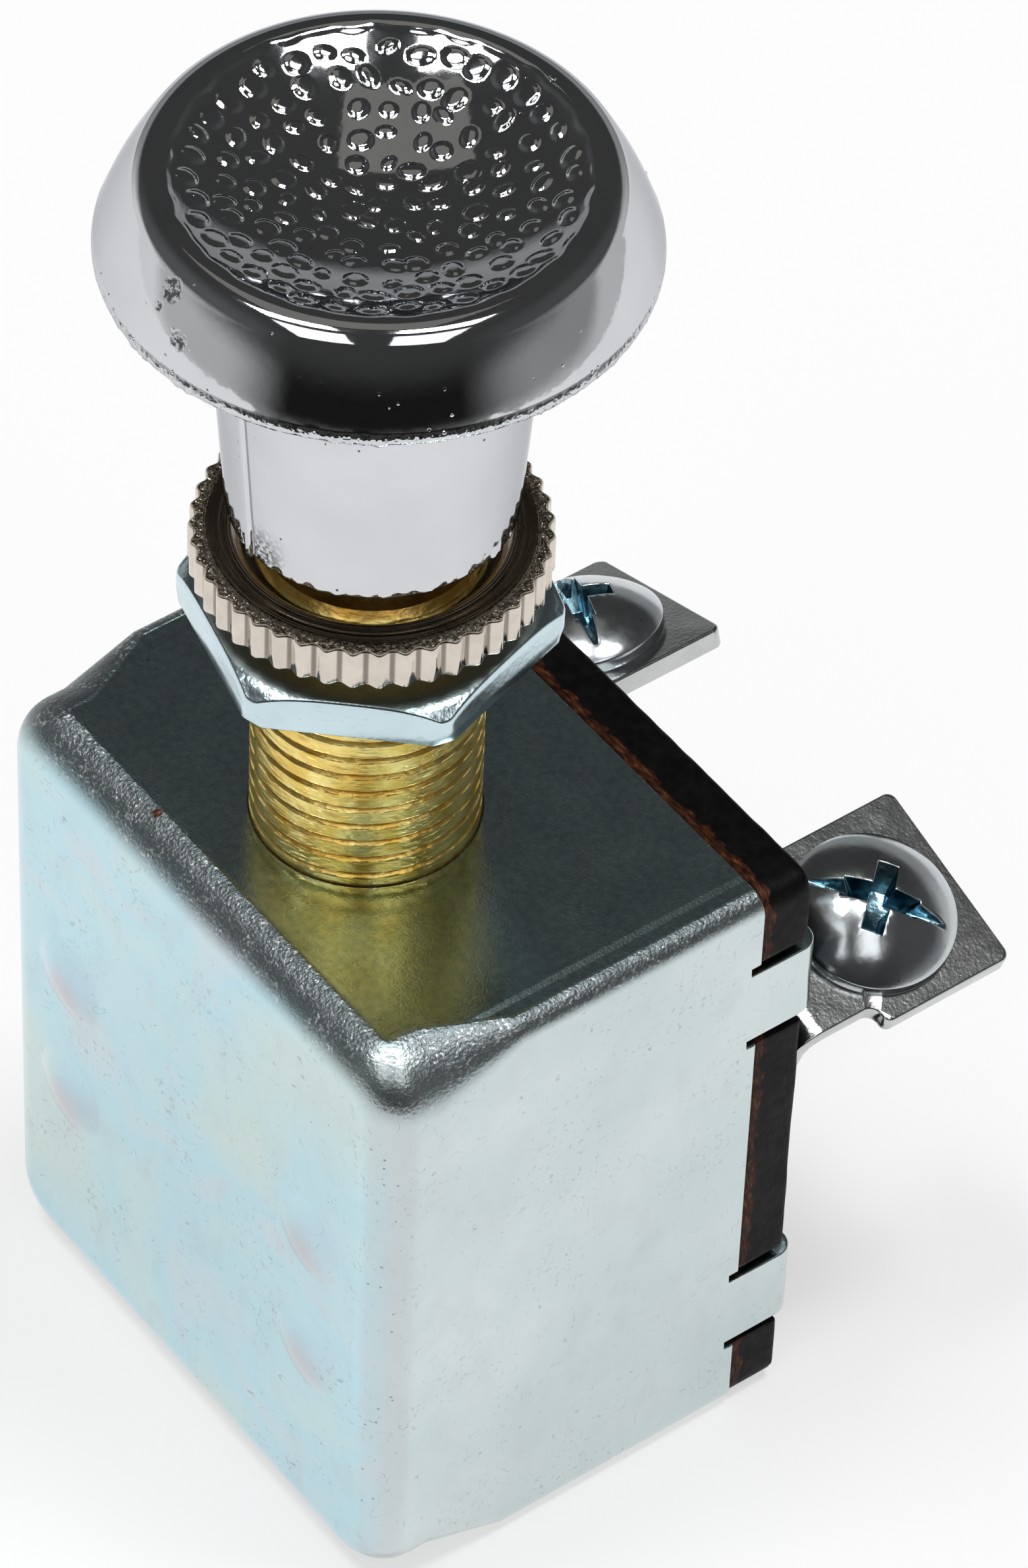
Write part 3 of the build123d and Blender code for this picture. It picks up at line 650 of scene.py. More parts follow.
def make_hex_nut():
    low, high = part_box("hex_nut")
    bottom = low.z / MM
    top = high.z / MM
    angles = around(HEX_POINTS)
    reach = hexagon(angles)
    foot = np.minimum(reach, HEX_FOOT)
    mouth = NUT_BORE + HEX_MOUTH
    chamfer = (HEX_CORNER - HEX_RIM) * math.tan(math.radians(HEX_CHAMFER))

    def worn(radius):
        """Height of the chamfer, which starts flat and ends steep."""
        return top - chamfer * (np.maximum(radius - HEX_RIM, 0) / (HEX_CORNER - HEX_RIM)) ** 2

    shoulder = worn(reach - HEX_ROUND)
    section = [(NUT_BORE, bottom + HEX_MOUTH), (NUT_BORE, top - HEX_MOUTH), (mouth, top)]
    section += [(mouth + (HEX_RIM - mouth) * share, top) for share in HEX_TOP_SHARES]
    for share in HEX_CHAMFER_SHARES:
        radius = HEX_RIM + (reach - HEX_ROUND - HEX_RIM) * share
        section.append((radius, worn(radius)))
    section += [(reach - back, shoulder - drop) for back, drop in HEX_EDGE]
    for share in HEX_SIDE_SHARES:
        section.append((reach, (shoulder - HEX_DROP) * (1 - share) + (bottom + HEX_SKIRT) * share))
    section += [(foot - back, bottom + rise) for back, rise in HEX_FOOT_EDGE]
    section.append((mouth, bottom))
    return surface("hex_nut_finished", rings(angles, section), wrap=True)


def make_face_nut():
    low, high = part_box("face_nut")
    bottom = low.z / MM
    top = high.z / MM
    angles = around(TEETH * TOOTH_POINTS)
    phase = np.abs((angles * TEETH / TURN + 0.5) % 1.0 - 0.5)
    tooth = high.x / MM - TOOTH_DEPTH * (0.5 - 0.5 * np.cos(TURN * phase))
    floor = top - RECESS_DEPTH
    brim = RECESS_RADIUS + RECESS_CHAMFER
    inner = brim + RECESS_LAND
    side = bottom - top + FACE_DROP + FACE_RISE
    section = [(NUT_BORE, bottom + FACE_MOUTH), (NUT_BORE, floor),
               (RECESS_RADIUS - RECESS_ROUND, floor), (RECESS_RADIUS, floor + RECESS_ROUND),
               (RECESS_RADIUS, top - RECESS_CHAMFER), (brim - RECESS_LIP, top - RECESS_LIP)]
    for share in FACE_TOP_SHARES:
        section.append((inner + (tooth - FACE_ROUND - inner) * share, top))
    section += [(tooth - back, top - drop) for back, drop in FACE_EDGE]
    section += [(tooth, top - FACE_DROP + side * share) for share in FACE_SIDE_SHARES]
    section += [(tooth - back, bottom + rise) for back, rise in FACE_FOOT_EDGE]
    section.append((NUT_BORE + FACE_MOUTH, bottom))
    return surface("face_nut_finished", rings(angles, section), wrap=True)


# Terminal screws

def screw_place(side):
    """Where a terminal screw stands, seen from the pad of its fanned-out terminal."""
    fan = Matrix.Rotation(math.radians(side * FAN_ANGLE), 4, "Y")
    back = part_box("terminal_board")[1].y / MM
    corner = Matrix.Translation(Vector((side * PAD_CENTRE_X, back, -PAD_CENTRE_DROP)) * MM)
    return corner @ fan @ Matrix.Translation((0, SCREW_OUT * MM, 0))


def make_screw(name, side):
    """A screw whose head is the solid's own, with its edges eased, and whose shank has a thread."""
    place = screw_place(side) @ Matrix.Rotation(math.radians(SLOT_TURNS[name]), 4, "Z")
    local = place.inverted()
    piece = softened("terminal_screw_" + name, EASED["screw"])
    angles = around(SCREW_POINTS)
    section = [(0.0, SCREW_ROOT), (SCREW_RADIUS, SCREW_ROOT)]
    steps = round(SCREW_LENGTH / SCREW_PITCH * SCREW_ROWS)
    for i in range(steps + 1):
        height = -SCREW_LENGTH * i / steps
        cut = thread_cut(angles, height, SCREW_PITCH, SCREW_THREAD_DEPTH, SCREW_THREAD_LAND)
        point = SCREW_RADIUS - SCREW_POINT + (height + SCREW_LENGTH)
        section.append((np.minimum(SCREW_RADIUS - cut, point), height))
    section.append((0.0, -SCREW_LENGTH))
    shank = surface("shank", rings(angles, section), place=place)
    shape = bmesh.new()
    shape.from_mesh(piece.data)
    plain = [v for v in shape.verts if (local @ v.co).z < -ON_PLANE * MM]
    bmesh.ops.delete(shape, geom=plain, context="VERTS")
    bmesh.ops.holes_fill(shape, edges=shape.edges)
    shape.from_mesh(shank.data)
    shape.to_mesh(piece.data)
    shape.free()
    bpy.data.objects.remove(shank)
    shade(piece.data, SOLID_SHARP)
    rise = HEAD_EDGE + HEAD_DOME
    ball = (SCREW_HEAD ** 2 + HEAD_DOME ** 2) / (2 * HEAD_DOME)
    for face in piece.data.polygons:
        spot = local @ face.center / MM
        dome = rise - ball + math.sqrt(max(ball ** 2 - spot.x ** 2 - spot.y ** 2, 0))
        sunk = SLOT_FLOOR < spot.z < dome - SLOT_DEPTH
        inside = math.hypot(spot.x, spot.y) < SCREW_HEAD - SLOT_RIM
        face.material_index = 1 if sunk and inside else 0
    return piece


# Board and springs

def make_board():
    """The board, with its sheared edges torn a little."""
    rough = placed("board_rough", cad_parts["terminal_board"].data.copy())
    remesh = rough.modifiers.new("even", "REMESH")
    remesh.mode = "VOXEL"
    remesh.voxel_size = BOARD_VOXEL * MM
    mesh = applied(rough)
    bpy.data.objects.remove(rough)
    mesh.materials.clear()
    low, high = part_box("terminal_board")
    places = np.zeros(len(mesh.vertices) * 3)
    mesh.vertices.foreach_get("co", places)
    places = places.reshape(-1, 3)
    chance = np.random.default_rng(SEED)
    waves = chance.normal(0, 1, (TEAR_WAVES, 3)) * np.array(TEAR_RATES)
    shifts = chance.uniform(0, TURN, TEAR_WAVES)
    tear = sum(np.sin(places / MM @ w + s) for w, s in zip(waves, shifts)) / math.sqrt(TEAR_WAVES)
    depth = RAGGED * MM * np.clip(0.5 + 0.5 * tear, 0, TEAR_MOST)
    middle = np.array((low + high) / 2)
    half = np.array((high - low) / 2)
    for axis in (0, 2):
        off = places[:, axis] - middle[axis]
        edge = smooth(np.abs(off), *(half[axis] - band * MM for band in TORN_BAND))
        places[:, axis] -= np.sign(off) * edge * depth
    mesh.vertices.foreach_set("co", places.ravel())
    return finished("terminal_board_finished", mesh, BOARD_SHARP)


def make_spring(name, finish):
    """A coil as the solid has it, shaded and put in place of the solid."""
    node = "detent_spring_" + name
    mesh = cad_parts[node].data.copy()
    mesh.materials.clear()
    coil = finished(node + "_finished", mesh, COIL_SHARP)
    coil.data.materials.append(finish)
    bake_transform(coil)
    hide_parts(node)


# Finishes

class Nodes:
    """Adds nodes to a tree and joins them up."""

    def __init__(self, tree):
        self.tree = tree

    def add(self, kind, feeds=(), **settings):
        node = self.tree.nodes.new("ShaderNode" + kind)
        for key, value in settings.items():
            setattr(node, key, value)
        for key, value in dict(feeds).items():
            self.feed(node.inputs[key], value)
        return node

    def feed(self, socket, value):
        if isinstance(value, bpy.types.NodeSocket):
            self.tree.links.new(value, socket)
        else:
            socket.default_value = value

    def calc(self, operation, *values):
        return self.add("Math", enumerate(values), operation=operation).outputs[0]

    def vector(self, operation, *values):
        """A sum or product of vectors; a length, distance or dot product is a number."""
        node = self.add("VectorMath", enumerate(values), operation=operation)
        number = operation in ("LENGTH", "DISTANCE", "DOT_PRODUCT")
        return node.outputs["Value" if number else "Vector"]

    def between(self, value, low, high, start=0.0, end=1.0):
        """start at low and end at high, with an even S between; low may be the larger."""
        feeds = {"Value": value, "From Min": low, "From Max": high, "To Min": start, "To Max": end}
        return self.add("MapRange", feeds, interpolation_type="SMOOTHSTEP").outputs[0]


class Finish(Nodes):
    """A material and the steps that its nodes are built from.  Places are in millimetres."""

    def __init__(self, name, metallic=1.0):
        self.material = bpy.data.materials.new(name)
        self.material.use_nodes = True
        super().__init__(self.material.node_tree)
        self.shader = next(n for n in self.tree.nodes if n.type == "BSDF_PRINCIPLED")
        self.shader.inputs["Metallic"].default_value = metallic
        coords = self.add("TexCoord").outputs
        self.facing = coords["Normal"]
        feeds = {0: coords["Object"], "Scale": 1 / MM}
        self.place = self.add("VectorMath", feeds, operation="SCALE").outputs[0]
        self.colour = None
        self.relief = None

    def times(self, first, *others):
        """The product of masks and numbers."""
        for other in others:
            first = self.calc("MULTIPLY", first, other)
        return first

    def most(self, first, second):
        return self.calc("MAXIMUM", first, second)

    def outside(self, mask):
        return self.calc("SUBTRACT", 1.0, mask)

    def linear(self, value, gain, base):
        return self.calc("MULTIPLY_ADD", value, gain, base)

    def axis(self, name, source=None):
        return self.add("SeparateXYZ", {0: source or self.place}).outputs[name]

    def away(self, centre):
        """Distance from a place."""
        return self.vector("DISTANCE", self.place, centre)

    def from_axis(self):
        """Distance from the plunger's axis."""
        return self.vector("LENGTH", self.vector("MULTIPLY", self.place, (1.0, 1.0, 0.0)))

    def spot(self, x, z, radius):
        """A soft round patch on the front."""
        flat = self.vector("MULTIPLY", self.place, (1.0, 0.0, 1.0))
        return self.between(self.vector("DISTANCE", flat, (x, 0.0, z)), radius, 0.1 * radius)

    def grain(self, size, detail=2.0, stretch=(1, 1, 1), distortion=0.0, shift=0.0):
        """Cloudy noise from 0 to 1 with features of a size, drawn out along the axes by stretch."""
        scale = [1 / (size * s) for s in stretch]
        place = self.vector("MULTIPLY_ADD", self.place, scale, (shift, 2 * shift, -shift))
        feeds = {"Vector": place, "Scale": 1.0, "Detail": detail, "Distortion": distortion}
        return self.add("TexNoise", feeds).outputs[0]

    def specks(self, cell, size, share):
        """Round specks of a size, one in some of the cells of an uneven grid."""
        cells = self.add("TexVoronoi", {"Vector": self.place, "Scale": 1 / cell}).outputs
        chosen = self.calc("GREATER_THAN", self.axis("X", cells["Color"]), 1 - share)
        return self.times(chosen, self.between(cells["Distance"], size / cell, 0.5 * size / cell))

    def scratches(self, length, width, angle, shift):
        """Thin uneven lines along one direction, where a drawn-out noise crosses its middle."""
        feeds = {"Vector": self.place, "Angle": math.radians(angle)}
        turned = self.add("VectorRotate", feeds, rotation_type="Y_AXIS").outputs[0]
        scale = (1 / length, 1 / (3 * width), 1 / (3 * width))
        place = self.vector("MULTIPLY_ADD", turned, scale, (shift, shift, shift))
        noise = self.add("TexNoise", {"Vector": place, "Scale": 0.12, "Detail": 1.0}).outputs[0]
        off = self.calc("ABSOLUTE", self.calc("SUBTRACT", noise, 0.5))
        patches = self.between(self.grain(3 * length, 1.0, shift=shift), 0.52, 0.66)
        return self.times(self.between(off, 0.006, 0.0), patches)

    def ramp(self, value, stops):
        """Colours along a value; each stop is a position and a colour."""
        node = self.add("ValToRGB", {0: value})
        while len(node.color_ramp.elements) < len(stops):
            node.color_ramp.elements.new(0.5)
        for element, (position, colour) in zip(node.color_ramp.elements, stops):
            element.position = position
            element.color = (*colour, 1)
        return node.outputs[0]

    def lay(self, mask, colour):
        """Lays a colour over what is there."""
        feeds = {0: mask, 6: self.colour, 7: colour}
        self.colour = self.add("Mix", feeds, data_type="RGBA").outputs[2]

    def cover(self, coat, *masks):
        """Lays a coat over what is there, where all of its masks are."""
        self.lay(self.times(*masks, coat[3]), (*coat[:3], 1))

    def dent(self, height, depth):
        """Adds relief: height from 0 to 1, times a depth in millimetres."""
        feeds = {"Height": height, "Distance": depth * MM, "Strength": 1.0}
        if self.relief is not None:
            feeds["Normal"] = self.relief
        self.relief = self.add("Bump", feeds).outputs[0]

    def done(self, roughness):
        self.feed(self.shader.inputs["Base Color"], self.colour)
        self.feed(self.shader.inputs["Roughness"], roughness)
        self.feed(self.shader.inputs["Normal"], self.relief)
        return self.material


def zinc_case():
    f = Finish("zinc_case")
    up = f.axis("Z", f.facing)
    front = f.calc("MULTIPLY", f.axis("Y", f.facing), -1.0)
    on_front = f.between(front, 0.5, 0.95)
    on_top = f.between(up, 0.9, 0.99)
    # bend: the front-top bends, which get painted shade; near the rubbed corner it is lifted, which
    # paints a highlight there
    bend = f.times(f.between(up, 0.08, 0.7), f.between(up, 0.9998, 0.985),
                   f.between(f.axis("Z"), -BEND_DEPTH, 0.5 - BEND_DEPTH),
                   f.linear(f.between(f.away(RUBBED_CORNER_HIGHLIGHT), 2.8, 0.8), -0.6, 1.0))
    f.colour = f.ramp(f.grain(9.0, 3.0, shift=5.0), CASE_SIDE_TINTS)
    f.lay(on_front, f.ramp(f.grain(15.0, 2.0, distortion=0.6), CASE_FRONT_TINTS))
    f.lay(on_top, f.ramp(f.grain(0.45, 4.0, shift=3.0), CASE_TOP_TINTS))
    # Painted shade and a painted pinkish reflection over each dimple in the front
    for side in SIDES.values():
        for drop in (0.0, DIMPLE_SPACING):
            x = side * DIMPLE_X
            z = -DIMPLE_TOP - drop
            f.cover(DIMPLE_SHADE, f.spot(x + 0.7, z + 0.8, 1.1 * DIMPLE_RADIUS), on_front)
            f.cover(DIMPLE_PAINTED_REFLECTION, f.spot(x - 0.1, z - 0.9, 0.9 * DIMPLE_RADIUS), on_front)
    edge = f.between(f.times(f.axis("X", f.facing), front), 0.12, 0.4)
    pits = f.most(f.specks(1.5, 0.09, 0.35), f.times(f.specks(0.6, 0.11, 0.3), edge))
    patches = f.between(f.grain(5.0, 3.0), 0.48, 0.64)
    dirt = f.times(f.between(f.grain(0.4, 4.0, shift=8.0), 0.58, 0.70), patches)
    rust = f.most(f.specks(9.0, 0.2, 0.08), f.between(f.away(RUST_SPECK), 0.34, 0.22))
    hairs = f.most(f.scratches(0.35, 0.05, 25.0, 3.0), f.scratches(0.25, 0.04, -50.0, 7.0))
    smears = f.between(f.grain(2.4, 5.0, stretch=(1, 1, 1.5), shift=6.0), 0.48, 0.72)
    worn = f.between(f.grain(1.3, 3.0, shift=5.5), 0.38, 0.62)
    fleck = f.times(f.between(f.grain(0.2, 3.0, shift=7.0), 0.52, 0.70), worn)
    f.cover(CASE_SMEAR, smears)
    # Painted grey shade along the rounded edges between the front and the sides
    f.cover(CASE_EDGE_SHADE, edge)
    f.cover(CASE_DIRT, dirt)
    # Painted shade over a duller finish darkens the front-top bends
    f.cover(BEND_DULL_AND_SHADE, bend)
    f.cover(BEND_FLECK, fleck, bend)
    f.cover(TOP_FLECK, fleck, on_top)
    f.cover(CASE_PIT, pits)
    f.cover(CASE_RUST, rust)
    f.cover(CASE_HAIR, hairs)
    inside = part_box("case")[1].x / MM - DIE_LINE
    step = f.between(f.calc("ABSOLUTE", f.axis("X")), inside - 0.3, inside + 0.3)
    f.dent(f.times(f.outside(step), on_top), 0.05)
    f.dent(f.grain(0.15, 1.0), 0.009)
    f.dent(f.times(f.grain(0.2, 2.0, shift=1.0), bend), 0.06)
    f.dent(f.times(f.grain(1.6, 1.0, shift=4.0), bend), 0.06)
    f.dent(f.grain(7.0, 1.0, shift=9.0), 0.03)
    return f.done(f.linear(bend, 0.27, f.linear(f.grain(2.5, 4.0, shift=2.0), 0.10, 0.13)))


def brass(name):
    f = Finish(name)
    root = f.between(f.from_axis(), THREAD_RADIUS - 0.06, THREAD_RADIUS - 0.8 * THREAD_DEPTH)
    f.colour = f.ramp(f.grain(1.6, 5.0, shift=4.0), BRASS_TINTS)
    f.cover(BRASS_STAIN, f.between(f.grain(0.9, 5.0, stretch=(1.6, 1.6, 0.6)), 0.54, 0.72))
    # Stain and painted shade darken the thread's roots
    f.cover(BRASS_ROOT_STAIN_AND_SHADE, root)
    f.dent(f.grain(0.3, 2.0, stretch=(2, 2, 0.7)), 0.05)
    return f.done(f.linear(f.grain(0.8, 3.0, shift=7.0), 0.2, BRASS_DULL[name]))


def zinc_nut():
    f = Finish("zinc_nut")
    up = f.axis("Z", f.facing)
    level = f.between(up, 0.93, 0.99)
    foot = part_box("hex_nut")[0].z / MM
    low = f.between(f.axis("Z"), foot + 0.8, foot + 0.1)
    scuff = f.between(f.grain(0.5, 4.0, stretch=(1.5, 1.5, 0.7)), 0.60, 0.74)
    f.colour = f.ramp(f.grain(3.0, 3.0), HEX_TINTS)
    f.cover(HEX_SCUFF, scuff, f.linear(low, 0.6, 0.15))
    # Painted shade on the nut's downward faces
    f.cover(HEX_UNDER_SHADE, f.between(up, -0.5, -0.9))
    # Painted shade on the nut's flat top, in shadow under the face nut
    f.cover(HEX_TOP_SHADE, level)
    f.dent(f.grain(0.3, 3.0), 0.008)
    f.dent(f.times(f.grain(0.25, 2.0, shift=3.0), f.between(up, 0.5, 0.9)), 0.015)
    return f.done(f.linear(level, 0.2, f.linear(f.grain(1.0, 3.0), 0.1, 0.13)))


def nickel_nut():
    f = Finish("nickel_nut")
    up = f.between(f.axis("Z", f.facing), 0.7, 0.95)
    radius = f.from_axis()
    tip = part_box("face_nut")[1].x / MM
    feeds = {"W": f.times(radius, 9.0), "Scale": 1.0, "Detail": 3.0}
    turning = f.add("TexNoise", feeds, noise_dimensions="1D").outputs[0]
    burred = f.times(f.between(radius, tip - 1.15, tip - 0.6), up)
    # groove: the grooves between the teeth, which get painted shade
    groove = f.times(f.between(radius, tip - 0.8 * TOOTH_DEPTH, tip - 0.98 * TOOTH_DEPTH),
                     f.between(radius, tip - 2.0 * TOOTH_DEPTH, tip - 1.3 * TOOTH_DEPTH))
    patches = f.between(f.grain(2.2, 2.0, shift=6.0), 0.42, 0.62)
    f.colour = f.ramp(f.grain(1.2, 3.0), NICKEL_TINTS)
    # Painted shade darkens the face nut's upward faces
    f.cover(NICKEL_TOP_SHADE, up)
    f.cover(NICKEL_BURR, burred, f.between(f.grain(0.25, 1.0, shift=2.0), 0.5, 0.65))
    f.cover(NICKEL_GROOVE_SHADE, groove, f.outside(up))
    # Painted highlight arcs along the turning marks on the top
    f.cover(NICKEL_ARC_HIGHLIGHT, f.between(turning, 0.54, 0.66), patches, up)
    f.dent(f.times(turning, up), 0.04)
    f.dent(f.times(f.grain(0.28, 1.0), burred), 0.22)
    f.dent(f.grain(0.35, 2.0, stretch=(1, 1, 4)), 0.012)
    return f.done(NICKEL_DULL)


def chrome_knob():
    f = Finish("chrome_knob")
    foot, top = (corner.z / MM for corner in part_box("knob"))
    under = top - HEAD_HEIGHT
    blots = f.specks(6.5, 0.34, 0.16)
    for centre, size in KNOB_NICKS:
        blots = f.most(blots, f.between(f.away(centre), size, 0.6 * size))
    pits = f.most(f.specks(2.2, 0.11, 0.4), f.specks(1.3, 0.085, 0.3))
    marks = f.most(pits, f.times(blots, f.between(f.grain(0.3, 3.0), 0.42, 0.55)))
    low = f.between(f.axis("Z"), foot + 3.4, foot + 1.0)
    beside = f.times(f.between(f.axis("X"), 0.2, 0.6), f.between(f.axis("X"), 3.0, 1.2),
                     f.between(f.axis("Y"), 0.0, -1.0))
    f.colour = f.ramp(f.grain(6.0, 2.0), CHROME_TINTS)
    f.cover(CHROME_MARK, marks)
    # A dark patch low on the stem, beside the rib
    f.cover(CHROME_DARK_PATCH, low, beside, f.between(f.grain(0.25, 3.0), 0.38, 0.6))
    outer = f.between(f.from_axis(), STEM_TOP_RADIUS + 2.5, STEM_TOP_RADIUS + 4.0)
    lip = f.times(f.between(f.axis("Z"), under + 1.0, under + 0.5), outer)
    flank = f.times(f.between(f.axis("Z"), under + 3.6, under + 1.2), outer)
    f.dent(f.outside(marks), 0.03)
    f.dent(f.times(f.specks(0.75, 0.13, 0.3), flank), 0.04)
    f.dent(f.times(f.grain(0.3, 1.0, shift=5.0), lip), 0.16)
    f.dent(f.grain(1.1, 2.0), 0.006)
    f.shader.inputs["Specular Tint"].default_value = CHROME_RIM_TINT
    return f.done(f.linear(f.grain(0.9, 4.0), 0.06, 0.02))


def metal(name):
    f = Finish(name)
    tone, dull = METALS[name]
    shaded = tuple(METAL_SHADE * c for c in tone)
    f.colour = f.ramp(f.grain(2.0, 4.0), ((0.3, shaded), (0.7, tone)))
    f.dent(f.grain(0.15, 2.0, stretch=(1, 1, 12)), 0.006)
    return f.done(f.linear(f.grain(0.7, 3.0), 0.18, dull))


def slider_fibre():
    f = Finish("slider_fibre", metallic=0.0)
    f.colour = f.ramp(f.grain(1.5, 5.0, stretch=(3, 1, 1)), FIBRE_TINTS)
    f.dent(f.grain(0.3, 4.0), 0.02)
    return f.done(f.linear(f.grain(0.8, 3.0), 0.25, 0.4))


def board_phenolic():
    f = Finish("board_phenolic", metallic=0.0)
    depth = f.calc("SUBTRACT", f.axis("Y"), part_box("terminal_board")[0].y / MM)
    ragged = f.linear(f.grain(1.3, 4.0), 1.7, -0.15)
    core = f.between(f.calc("SUBTRACT", ragged, depth), -0.1, 0.15)
    f.colour = f.ramp(f.grain(0.6, 5.0), BOARD_TINTS)
    f.lay(core, f.ramp(f.grain(0.35, 4.0, stretch=(2, 0.6, 2)), CORE_TINTS))
    f.dent(f.grain(0.35, 4.0, stretch=(1.5, 0.8, 1.5)), 0.035)
    f.shader.inputs["Specular IOR Level"].default_value = BOARD_SHINE
    return f.done(f.linear(f.grain(0.7, 4.0), 0.3, 0.35))


def terminal_tin():
    f = Finish("terminal_tin")
    f.colour = f.ramp(f.grain(2.2, 4.0), TIN_TINTS)
    f.cover(TIN_SPECK, f.specks(1.1, 0.1, 0.3))
    f.dent(f.grain(0.22, 2.0), 0.010)
    f.dent(f.grain(3.0, 1.0, shift=2.0), 0.012)
    return f.done(f.linear(f.grain(0.9, 4.0), 0.08, 0.12))


def screw_zinc():
    f = Finish("screw_zinc")
    f.colour = f.ramp(f.grain(2.5, 3.0), SCREW_TINTS)
    f.cover(SCREW_PIT, f.specks(1.3, 0.09, 0.35))
    f.dent(f.grain(0.9, 2.0), 0.012)
    return f.done(f.linear(f.grain(0.7, 3.0), 0.12, 0.12))


# Painted shade over a blue tint, in the cross recess of the screw heads
def screw_recess():
    f = Finish("screw_recess")
    f.colour = f.ramp(f.grain(0.9, 3.0), SLOT_SHADE_TINTS)
    f.dent(f.grain(0.4, 3.0), 0.03)
    return f.done(f.linear(f.grain(0.5, 3.0), 0.15, 0.12))


# Build the pieces

zinc_screw = (screw_zinc(), screw_recess())
dull_tin = terminal_tin()
ball_steel = metal("ball_steel")
spring_steel = metal("spring_steel")
rivet_brass = brass("rivet_brass")

dress(make_knob(), chrome_knob(), "plunger", "chrome_knob", "knob")
dress(make_bushing(), brass("brass_bushing"), "housing", "brass_bushing", "bushing")
dress(make_hex_nut(), zinc_nut(), "housing", "zinc_nut", "hex_nut")
dress(make_face_nut(), nickel_nut(), "housing", "nickel_nut", "face_nut")
dress(make_board(), board_phenolic(), "housing", "board_phenolic", "terminal_board")
dress(evened(softened("case", EASED["case"], front=-CASE_FRONT)), zinc_case(), "housing",
      "zinc_case", "case")
dress(evened(softened("slider", EASED["slider"])), slider_fibre(), "plunger", "slider_fibre",
      "slider")
dress(evened(softened("contact_bridge", EASED["contact_bridge"])), metal("contact_copper"),
      "plunger", "contact_copper", "contact_bridge")
for name, side in SIDES.items():
    terminal = "terminal_" + name
    screw = "terminal_screw_" + name
    dress(evened(softened(terminal, EASED["terminal"])), dull_tin, "housing", "terminal_tin",
          terminal)
    dress(make_screw(name, side), zinc_screw, "housing", "screw_zinc", screw)

repaint("plunger_shaft", metal("shaft_steel"))
repaint("slider_washer", metal("washer_steel"))
for name in SIDES:
    repaint("detent_ball_" + name, ball_steel)
    make_spring(name, spring_steel)
    repaint("terminal_rivet_" + name, rivet_brass)


# Stage: floor, world, lamps and camera

def floor_axes():
    """Unit vectors on the floor: to the camera's right, and away from it."""
    turn = math.radians(AZIMUTH)
    return Vector((math.cos(turn), math.sin(turn), 0)), Vector((-math.sin(turn), math.cos(turn), 0))


def aimed(back, right):
    """Rotation of a lamp or camera that looks along -back, with its own right towards right."""
    across = (right - back * right.dot(back)).normalized()
    return Matrix((across, back.cross(across), back)).transposed().to_quaternion()


def add_floor():
    """A white table top.  Camera and mirror rays see it near white, and it takes the shadow."""
    right, far = floor_axes()
    level = Vector((0, 0, cad_box[0].z - TABLE_BELOW))
    corners = [(-TABLE_LEFT, -TABLE_NEAR), (TABLE_RIGHT, -TABLE_NEAR), (TABLE_RIGHT, TABLE_FAR),
               (-TABLE_LEFT, TABLE_FAR)]
    mesh = bpy.data.meshes.new("floor")
    places = [tuple(level + right * u + far * v) for u, v in corners]
    mesh.from_pydata(places, [], [(0, 1, 2, 3)])
    floor = placed("floor", mesh)
    material = bpy.data.materials.new("floor")
    material.use_nodes = True
    material.node_tree.nodes.clear()
    n = Nodes(material.node_tree)
    paths = n.add("LightPath").outputs
    seen = n.calc("MAXIMUM", paths["Is Camera Ray"], paths["Is Glossy Ray"])
    seen = n.calc("MAXIMUM", seen, paths["Is Transmission Ray"])
    share = n.calc("MULTIPLY", seen, TABLE_GLOW)
    paint = n.add("BsdfDiffuse", {"Color": TABLE_PAINT}).outputs[0]
    glow = n.add("Emission", {"Color": WHITE}).outputs[0]
    mix = n.add("MixShader", {0: share, 1: paint, 2: glow}).outputs[0]
    n.add("OutputMaterial", {0: mix})
    mesh.materials.append(material)


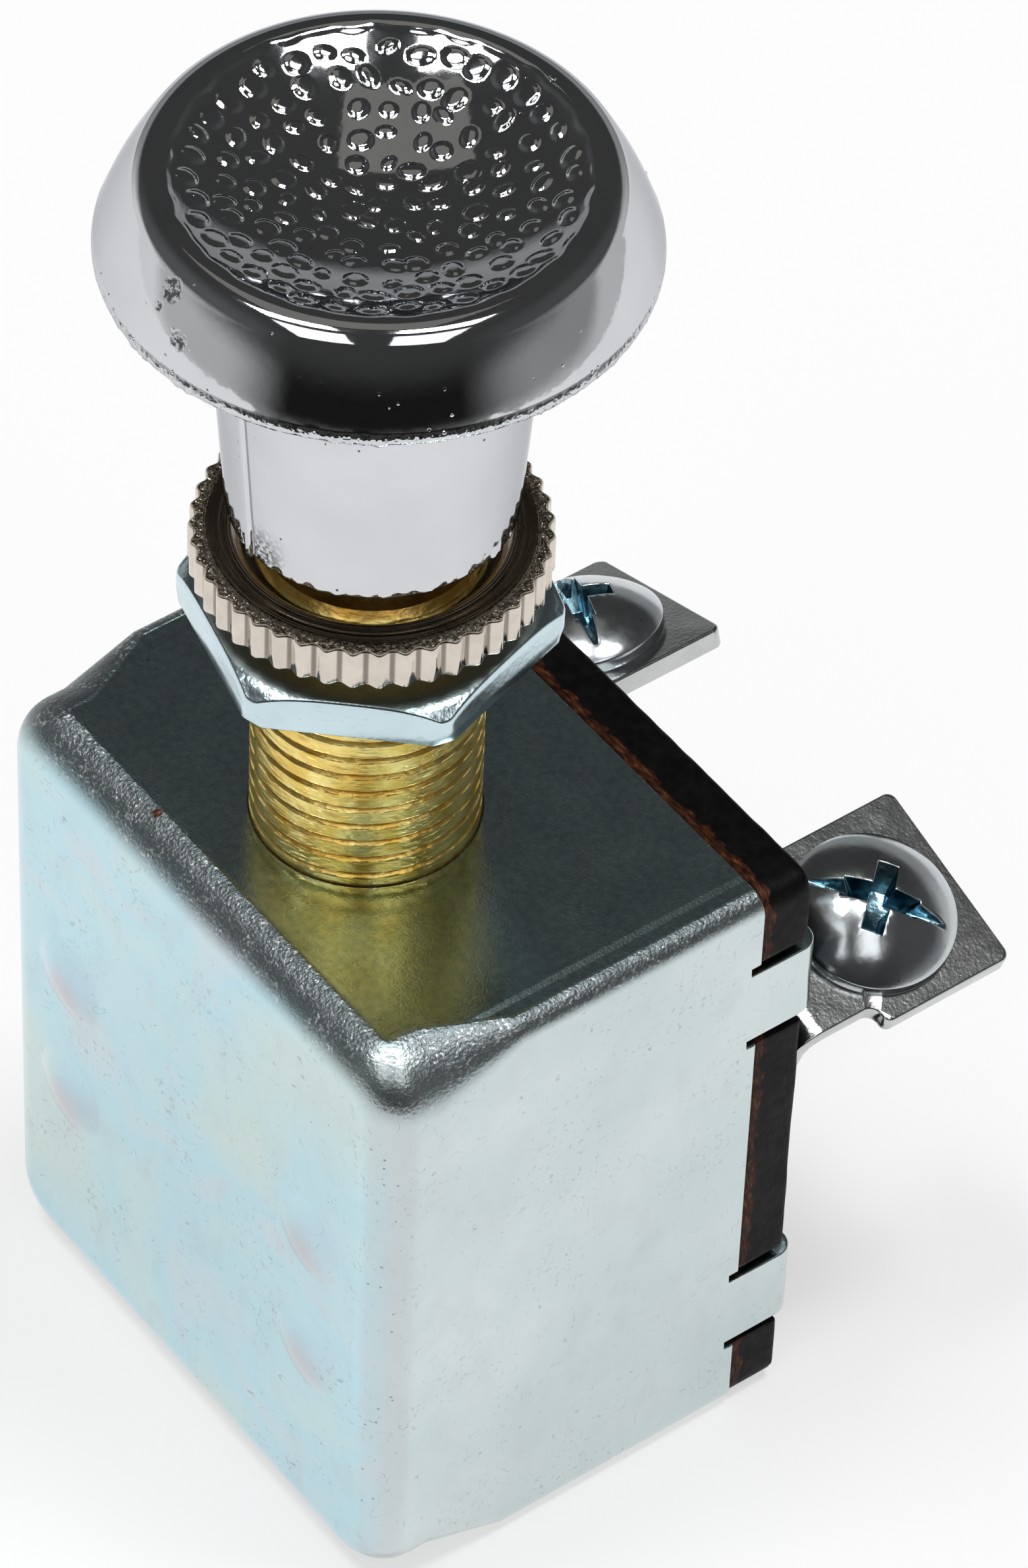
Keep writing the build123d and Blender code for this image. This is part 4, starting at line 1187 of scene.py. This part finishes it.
def add_world():
    """White for the camera.  Mirrors see a dim room with pale paper low down, behind and aside."""
    world = bpy.data.worlds.new("studio")
    bpy.context.scene.world = world
    world.use_nodes = True
    world.node_tree.nodes.clear()
    n = Nodes(world.node_tree)
    right, far = floor_axes()
    way = n.add("TexCoord").outputs["Generated"]
    rise = n.add("SeparateXYZ", {0: way}).outputs["Z"]
    away = n.vector("DOT_PRODUCT", way, far)
    across = n.vector("DOT_PRODUCT", way, right)
    top = n.between(away, *BACKDROP_WAY, *BACKDROP_TOPS)
    backdrop = n.between(n.calc("SUBTRACT", rise, top), *BACKDROP_FADE, BACKDROP_LEVEL, 0.0)
    room = n.between(rise, *ROOM_RISE, *ROOM_LEVELS)
    on_left = n.between(across, -SIDE_WAY[0], -SIDE_WAY[1], 0.0, SIDE_LEFT)
    on_right = n.between(across, *SIDE_WAY, 0.0, SIDE_RIGHT)
    paper = n.between(rise, *SIDE_RISE, *SIDE_LEVELS)
    sides = n.calc("MULTIPLY", paper, n.calc("ADD", on_left, on_right))
    level = n.calc("ADD", n.calc("ADD", backdrop, room), sides)
    dim = n.add("Background", {"Color": WHITE, "Strength": level}).outputs[0]
    white = n.add("Background", {"Color": WHITE, "Strength": 1.0}).outputs[0]
    seen = n.add("LightPath").outputs["Is Camera Ray"]
    mix = n.add("MixShader", {0: seen, 1: dim, 2: white}).outputs[0]
    n.add("OutputWorld", {0: mix})


def add_lamp(name, sideways, away, width, depth, level, colour=(1, 1, 1)):
    """A soft lamp overhead, tilted from the zenith to the camera's right and away from it."""
    right, far = floor_axes()
    tilt = right * math.tan(math.radians(sideways)) + far * math.tan(math.radians(away))
    back = (Vector((0, 0, 1)) + tilt).normalized()
    light = bpy.data.lights.new(name, "AREA")
    light.shape = "RECTANGLE"
    light.size = 2 * LAMP_DISTANCE * math.tan(math.radians(width / 2))
    light.size_y = 2 * LAMP_DISTANCE * math.tan(math.radians(depth / 2))
    light.energy = level * math.pi * light.size * light.size_y
    light.color = colour
    lamp = placed(name, light)
    lamp.location = back * LAMP_DISTANCE
    lamp.rotation_mode = "QUATERNION"
    lamp.rotation_quaternion = aimed(back, right)


def add_camera():
    """The photograph's viewpoint, aimed through the middle of its frame."""
    turn = math.radians(AZIMUTH)
    tilt = math.radians(ELEVATION)
    roll = math.radians(ROLL)
    flat = math.cos(tilt)
    back = Vector((math.sin(turn) * flat, -math.cos(turn) * flat, math.sin(tilt)))
    level = floor_axes()[0]
    upright = back.cross(level)
    right = math.cos(roll) * level + math.sin(roll) * upright
    up = math.cos(roll) * upright - math.sin(roll) * level
    eye = Vector((0, 0, AIM_HEIGHT)) + back * DISTANCE
    aim = -back + right * (OFF_CENTRE[0] / FOCAL_PIXELS) - up * (OFF_CENTRE[1] / FOCAL_PIXELS)
    data = bpy.data.cameras.new("camera")
    data.sensor_width = SENSOR
    data.lens = FOCAL_PIXELS * SENSOR / PHOTO_HEIGHT
    data.clip_start = CLIP_NEAR
    data.clip_end = CLIP_FAR
    camera = placed("camera", data)
    camera.location = eye * MM
    camera.rotation_mode = "QUATERNION"
    camera.rotation_quaternion = aimed(-aim.normalized(), right)
    bpy.context.scene.camera = camera


add_floor()
add_world()
for name, values in LAMPS.items():
    add_lamp(name, *values)
add_camera()
bpy.context.scene.view_settings.view_transform = "Standard"
